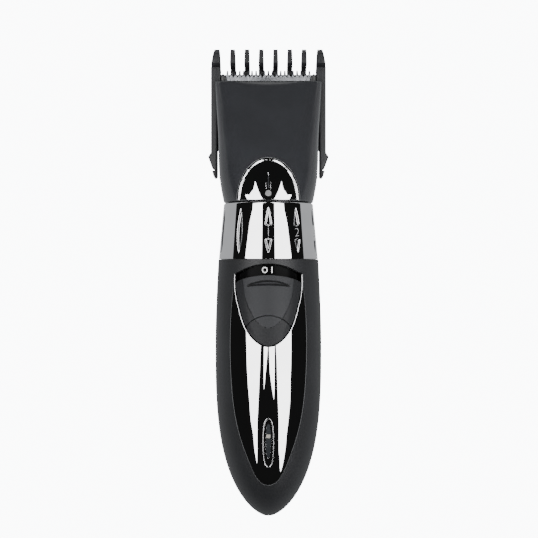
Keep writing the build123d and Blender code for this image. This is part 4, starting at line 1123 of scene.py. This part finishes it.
def head_trim():
    turn = np.linspace(0.012, math.pi - 0.012, 110)
    curve = np.stack([ARCH_WIDE * np.cos(turn), ARCH_FOOT + ARCH_TALL * np.sin(turn)], axis=1)
    across = np.linspace(-ARCH_WIDE + 0.1, ARCH_WIDE - 0.1, 40)
    foot = np.stack([across, np.full(40, ARCH_FOOT + 0.15)], axis=1)
    arch = plate(head_base, rounded_loop([curve, foot], 0.25, 0.35), top=arch_rise, bottom=-0.65, edge=0.28,
                 step=0.3, rows=8)
    plate_piece("head_trim", "housing", "dark_chrome", arch)
    pointer = plate(head_base, round_loop(0.0, POINTER_STATION, POINTER_RADIUS), top=0.34, bottom=0.0,
                    edge=0.1, step=0.4)
    plate_piece("ring_pointer", "housing", "dark_chrome", pointer, material=POINTER_SATIN)


head_trim()

# ---- comb ----
FIN = [(163.0, 0.3), (174.5, 0.3), (178.4, 3.0), (COMB_TIP, 5.6), (COMB_TIP, 8.8), (177.4, 11.4),
       (173.6, 11.8), (172.7, 10.6), (172.7, 3.6), (171.6, 2.6), (163.0, 2.6)]
ARM = [(19.95, 130.0), (20.55, 129.4), (21.25, 129.6), (22.0, 132.0), (20.95, 132.2), (20.95, 132.9),
       (21.9, 133.1), (23.5, 137.5), (22.4, 139.1), (22.4, 172.7), (18.7, 172.7), (18.7, 166.7),
       (19.95, 166.7)]
ARM_LOW, ARM_HIGH = 0.3, 9.0
ARM_GROOVE = (19.5, 20.85, 127.0, 166.8, RAIL_LOW - 0.3, RAIL_HIGH + 0.3)
CROSS_BAR = (-22.3, 22.3, 161.0, 170.5, 0.35, 2.6)
OUTER_TOOTH = (18.7, 22.4)
ALONG = (1, 2, 0)           # outlines of (station, height), with their thickness across
FINS, FIN_SPACING, FIN_HALF = 6, 5.55, 1.08


def fin_points(low, high, narrow_low, narrow_high):
    """A comb tooth between two widths, narrowing on each side towards its tip."""
    points, faces = prism(FIN, low, high, ALONG)
    share = np.clip((points[:, 1] - 172.0) / 7.3, 0, 1)
    points[:, 0] += np.where(points[:, 0] < (low + high) / 2, narrow_low, -narrow_high) * share
    return points, faces


def comb_arm(turned):
    """A side arm with its finger tab and hook, grooved inside for the head's rail."""
    arm = make_mesh("arm", *prism(np.array(ARM) * [turned, 1], ARM_LOW, ARM_HIGH), bevel=0.28)
    return carved(arm, [make_mesh("groove", *block(*ARM_GROOVE, turned))])


def outer_tooth(turned):
    points, faces = fin_points(*OUTER_TOOTH, 0.3, 1.35)
    return make_mesh("outer_tooth", points * [turned, 1, 1], faces, bevel=0.3)


def guide_comb():
    bar = make_mesh("cross_bar", *block(*CROSS_BAR), bevel=0.3)
    sides = [comb_arm(1), comb_arm(-1), outer_tooth(1), outer_tooth(-1)]
    comb = carved(bar, sides, "UNION", soften=30)
    fin = make_mesh("comb_fin", *fin_points(-FIN_HALF, FIN_HALF, 0.22, 0.22), bevel=0.14)
    first = -FIN_SPACING * (FINS - 1) / 2
    comb = repeated(comb, fin, FINS, (first, 0, 0), (FIN_SPACING, 0, 0), "comb_plastic")
    piece("guide_comb", comb, "comb", "comb_plastic")


guide_comb()

# ---- blades ----
TOOTH_PITCH, TOOTH_LENGTH, TOOTH_HALF = 1.6, 2.4, 0.45


def cad_corners(node):
    """The node's lowest and highest corners as (x, station, height) in millimetres."""
    return [np.array(corner) / MM + [0, SHIFT, 0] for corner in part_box(node)]


def blade(name, body, count):
    """A ground plate with a row of raked teeth, in its CAD node's place."""
    (_, rear, low), (half, tip, high) = cad_corners(name)
    root = tip - TOOTH_LENGTH
    ground = make_mesh(name, *block(-half, half, rear, root, low, high), bevel=0.12)
    profile = [(root - 0.5, low + 0.01), (tip - 0.5, low + 0.01), (tip, low + 0.4), (tip, low + 0.6),
               (root + 0.9, high - 0.01), (root - 0.5, high - 0.01)]
    points, faces = prism(profile, -TOOTH_HALF, TOOTH_HALF, ALONG)
    points[:, 0] *= 1.12 - 0.5 * np.clip((points[:, 1] - root) / TOOTH_LENGTH, 0, 1)
    tooth = make_mesh("tooth", points, faces, bevel=0.06, segments=2)
    first = -TOOTH_PITCH * (count - 1) / 2
    mesh = repeated(ground, tooth, count, (first, 0, 0), (TOOTH_PITCH, 0, 0), "blade_steel")
    piece(name, mesh, body, "blade_steel")


def eased_edges(node, width, body, slot):
    """The node's own shape with its sharp edges broken."""
    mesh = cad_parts[node].data.copy()
    form = bmesh.new()
    form.from_mesh(mesh)
    bmesh.ops.remove_doubles(form, verts=form.verts, dist=2e-6)
    bmesh.ops.dissolve_limit(form, angle_limit=math.radians(2), verts=form.verts, edges=form.edges)
    sharp = [e for e in form.edges if len(e.link_faces) == 2 and e.calc_face_angle(0) > 0.6]
    bmesh.ops.bevel(form, geom=sharp, offset=width * MM, segments=2, profile=0.5, affect="EDGES",
                    clamp_overlap=True)
    form.to_mesh(mesh)
    form.free()
    mesh.shade_smooth()
    mesh.set_sharp_from_angle(angle=math.radians(32))
    piece(node + "_eased", mesh, body, slot, node=node)


blade("fixed_blade", "carriage", 21)
blade("moving_blade", "cutter", 19)
eased_edges("blade_base", 0.15, "carriage", "black_plastic")

# ---- housing screws ----
SCREW_HEAD, SCREW_HEAD_HEIGHT, SCREW_SHANK = 2.25, 1.6, 1.15        # two radii and a height
CROSS_REACH, CROSS_DEPTH = 0.62, 0.75       # the recess: a share of the head's radius, and its depth


def screw_mesh(length, turns=96):
    """A pan-head screw with a cross recess, its head at height 0 facing down, its shank above."""
    radii = np.concatenate([np.linspace(0.02, SCREW_HEAD - 0.3, 14), [SCREW_HEAD - 0.12, SCREW_HEAD]])
    turn = np.linspace(0, 2 * math.pi, turns, endpoint=False)
    reach = SCREW_HEAD * CROSS_REACH
    rows = []
    for radius in radii:
        x, y = radius * np.cos(turn), radius * np.sin(turn)
        cross = np.maximum(ease(-np.abs(x), -0.42, -0.26) * (np.abs(y) < reach),
                           ease(-np.abs(y), -0.42, -0.26) * (np.abs(x) < reach))
        crown = 0.35 * (radius / SCREW_HEAD) ** 2.5
        rows.append(np.stack([x, y, crown + CROSS_DEPTH * cross], axis=1))
    for radius, z in ((SCREW_HEAD, SCREW_HEAD_HEIGHT), (SCREW_SHANK, SCREW_HEAD_HEIGHT),
                      (SCREW_SHANK, length - 0.6), (SCREW_SHANK * 0.4, length)):
        rows.append(np.stack([radius * np.cos(turn), radius * np.sin(turn), np.full(turns, z)], axis=1))
    flat, faces = tube(np.array(rows))
    faces += [tuple(range(turns)), tuple(range(len(flat) - 1, len(flat) - turns - 1, -1))]
    return flat, faces


def housing_screws():
    (_, _, low), (_, _, high) = cad_corners("housing_screws")
    points, faces = screw_mesh(high - low)
    first = make_mesh("housing_screw", points + [0, SCREW_STATIONS[0], low], faces, soften=35)
    spacing = SCREW_STATIONS[1] - SCREW_STATIONS[0]
    carrier = bpy.data.meshes.new("no_carrier")
    pair = repeated(carrier, first, 2, (0, 0, 0), (0, spacing, 0), "steel", soften=35)
    piece("housing_screws", pair, "housing", "steel")


housing_screws()

# ---- studio ----
CENTRE = Vector((0.23, 93.8 - SHIFT, AXIS)) * MM
WHITE = 11.0                # glow of the floor and the world as the camera sees them
FLOOR_GLOW, WORLD_GLOW, CARD_GLOW, FAR_GLOW = 0.68, 0.015, 7.0, 2.2      # as the clipper sees them
CARD_HEIGHT = 300.0         # above the clipper's axis; card outlines are (across, along) from its middle
CARD_TOP = [(335, 20), (430, 86), (320, 104), (250, 106), (190, 138), (124, 178), (70, 225), (14, 285),
            (44, 219), (53, 190), (52, 172), (66, 140), (80, 110), (80, -45)]
RIGHT_TAIL = [(92, -60), (104, -100), (122, -150), (130, -195), (145, -255), (180, -318), (198, -368),
              (238, -432), (262, -385), (268, -335), (275, -285), (272, -220), (292, -177), (318, -132),
              (318, -94), (334, -60)]
LEFT_TAIL = [(90, -60), (100, -80), (113, -110), (132, -155), (142, -198), (156, -258), (188, -340),
             (206, -266), (208, -206), (240, -168), (256, -122), (284, -91), (308, -60)]
CARDS = {
    "right_card": CARD_TOP + RIGHT_TAIL,
    "left_card": [(-x, y) for x, y in CARD_TOP + LEFT_TAIL],
    "left_centre_card": [(-5, -46), (-47, -46), (-50, -72), (-47, -91), (-30, -70)],
    "right_centre_card": [(67, -46), (5, -46), (15, -68), (36, -86), (60, -107), (66, -90)],
}
FLOOR_REACH, FLOOR_DROP = 3.0, -(AXIS + 0.3) * MM
CAMERA_HEIGHT = 430.0       # above the clipper's axis
FOCAL_LENGTH = 75.7


def two_lights(holder, source, shown, lit):
    """Gives a material or world one light for the camera and another for all other rays."""
    holder.use_nodes = True
    nodes, link = holder.node_tree.nodes, holder.node_tree.links.new
    nodes.clear()
    out = nodes.new("ShaderNodeOutput" + type(holder).__name__)
    path, mix = nodes.new("ShaderNodeLightPath"), nodes.new("ShaderNodeMixShader")
    link(path.outputs["Is Camera Ray"], mix.inputs[0])
    for place, (glow, colour) in ((1, lit), (2, shown)):
        light = nodes.new(source)
        light.inputs["Strength"].default_value, light.inputs["Color"].default_value = glow, (*colour, 1)
        link(light.outputs[0], mix.inputs[place])
    link(mix.outputs[0], out.inputs["Surface"])
    return mix, out


def studio_surface(name, shown, lit, colour=(1, 1, 1)):
    material = bpy.data.materials.new(name)
    return material, *two_lights(material, "ShaderNodeEmission", (shown, colour), (lit, colour))


def studio_floor():
    """The floor's material: pale and glowing from above, clear from below."""
    material, front, out = studio_surface("pale_floor", WHITE, FLOOR_GLOW, (0.96, 0.98, 1.0))
    nodes, link = material.node_tree.nodes, material.node_tree.links.new
    side, clear = nodes.new("ShaderNodeNewGeometry"), nodes.new("ShaderNodeBsdfTransparent")
    both = nodes.new("ShaderNodeMixShader")
    link(side.outputs["Backfacing"], both.inputs[0])
    link(front.outputs[0], both.inputs[1])
    link(clear.outputs[0], both.inputs[2])
    link(both.outputs[0], out.inputs["Surface"])
    material.cycles.emission_sampling = "NONE"
    return material


def studio_sheet(name, corners, material, camera_sees=False):
    """A flat sheet of the studio from corners in metres about the middle of the clipper."""
    mesh = bpy.data.meshes.new(name)
    mesh.from_pydata([tuple(CENTRE + Vector(c)) for c in corners], [], [tuple(range(len(corners)))])
    mesh.materials.append(material)
    sheet = linked(name, mesh)
    sheet.visible_camera = camera_sees


def studio_world():
    """White behind the clipper for the camera, and nearly dark in its reflections."""
    world = bpy.data.worlds.new("studio_world")
    bpy.context.scene.world = world
    two_lights(world, "ShaderNodeBackground", (WHITE, (0.97, 0.985, 1.0)), (WORLD_GLOW, (0.8, 0.8, 0.8)))


def studio_camera():
    lens = bpy.data.cameras.new("camera")
    lens.lens, lens.sensor_width = FOCAL_LENGTH, 36.0
    lens.clip_start, lens.clip_end = 0.01, 20.0
    camera = linked("camera", lens)
    camera.location = CENTRE + Vector((0, 0, CAMERA_HEIGHT * MM))
    bpy.context.scene.camera = camera


corners = [(x * FLOOR_REACH, y * FLOOR_REACH, FLOOR_DROP) for x, y in ((-1, -1), (1, -1), (1, 1), (-1, 1))]
studio_sheet("floor", corners, studio_floor(), camera_sees=True)
card = studio_surface("light_card", CARD_GLOW, CARD_GLOW)[0]
for label, outline in CARDS.items():
    studio_sheet(label, [(x * MM, y * MM, CARD_HEIGHT * MM) for x, y in outline], card)
corners = [(-1.2, 0.8, 0.0), (1.2, 0.8, 0.0), (1.2, 0.8, 0.13), (-1.2, 0.8, 0.13)]
studio_sheet("far_card", corners, studio_surface("far_light", FAR_GLOW, FAR_GLOW)[0])
studio_world()
studio_camera()
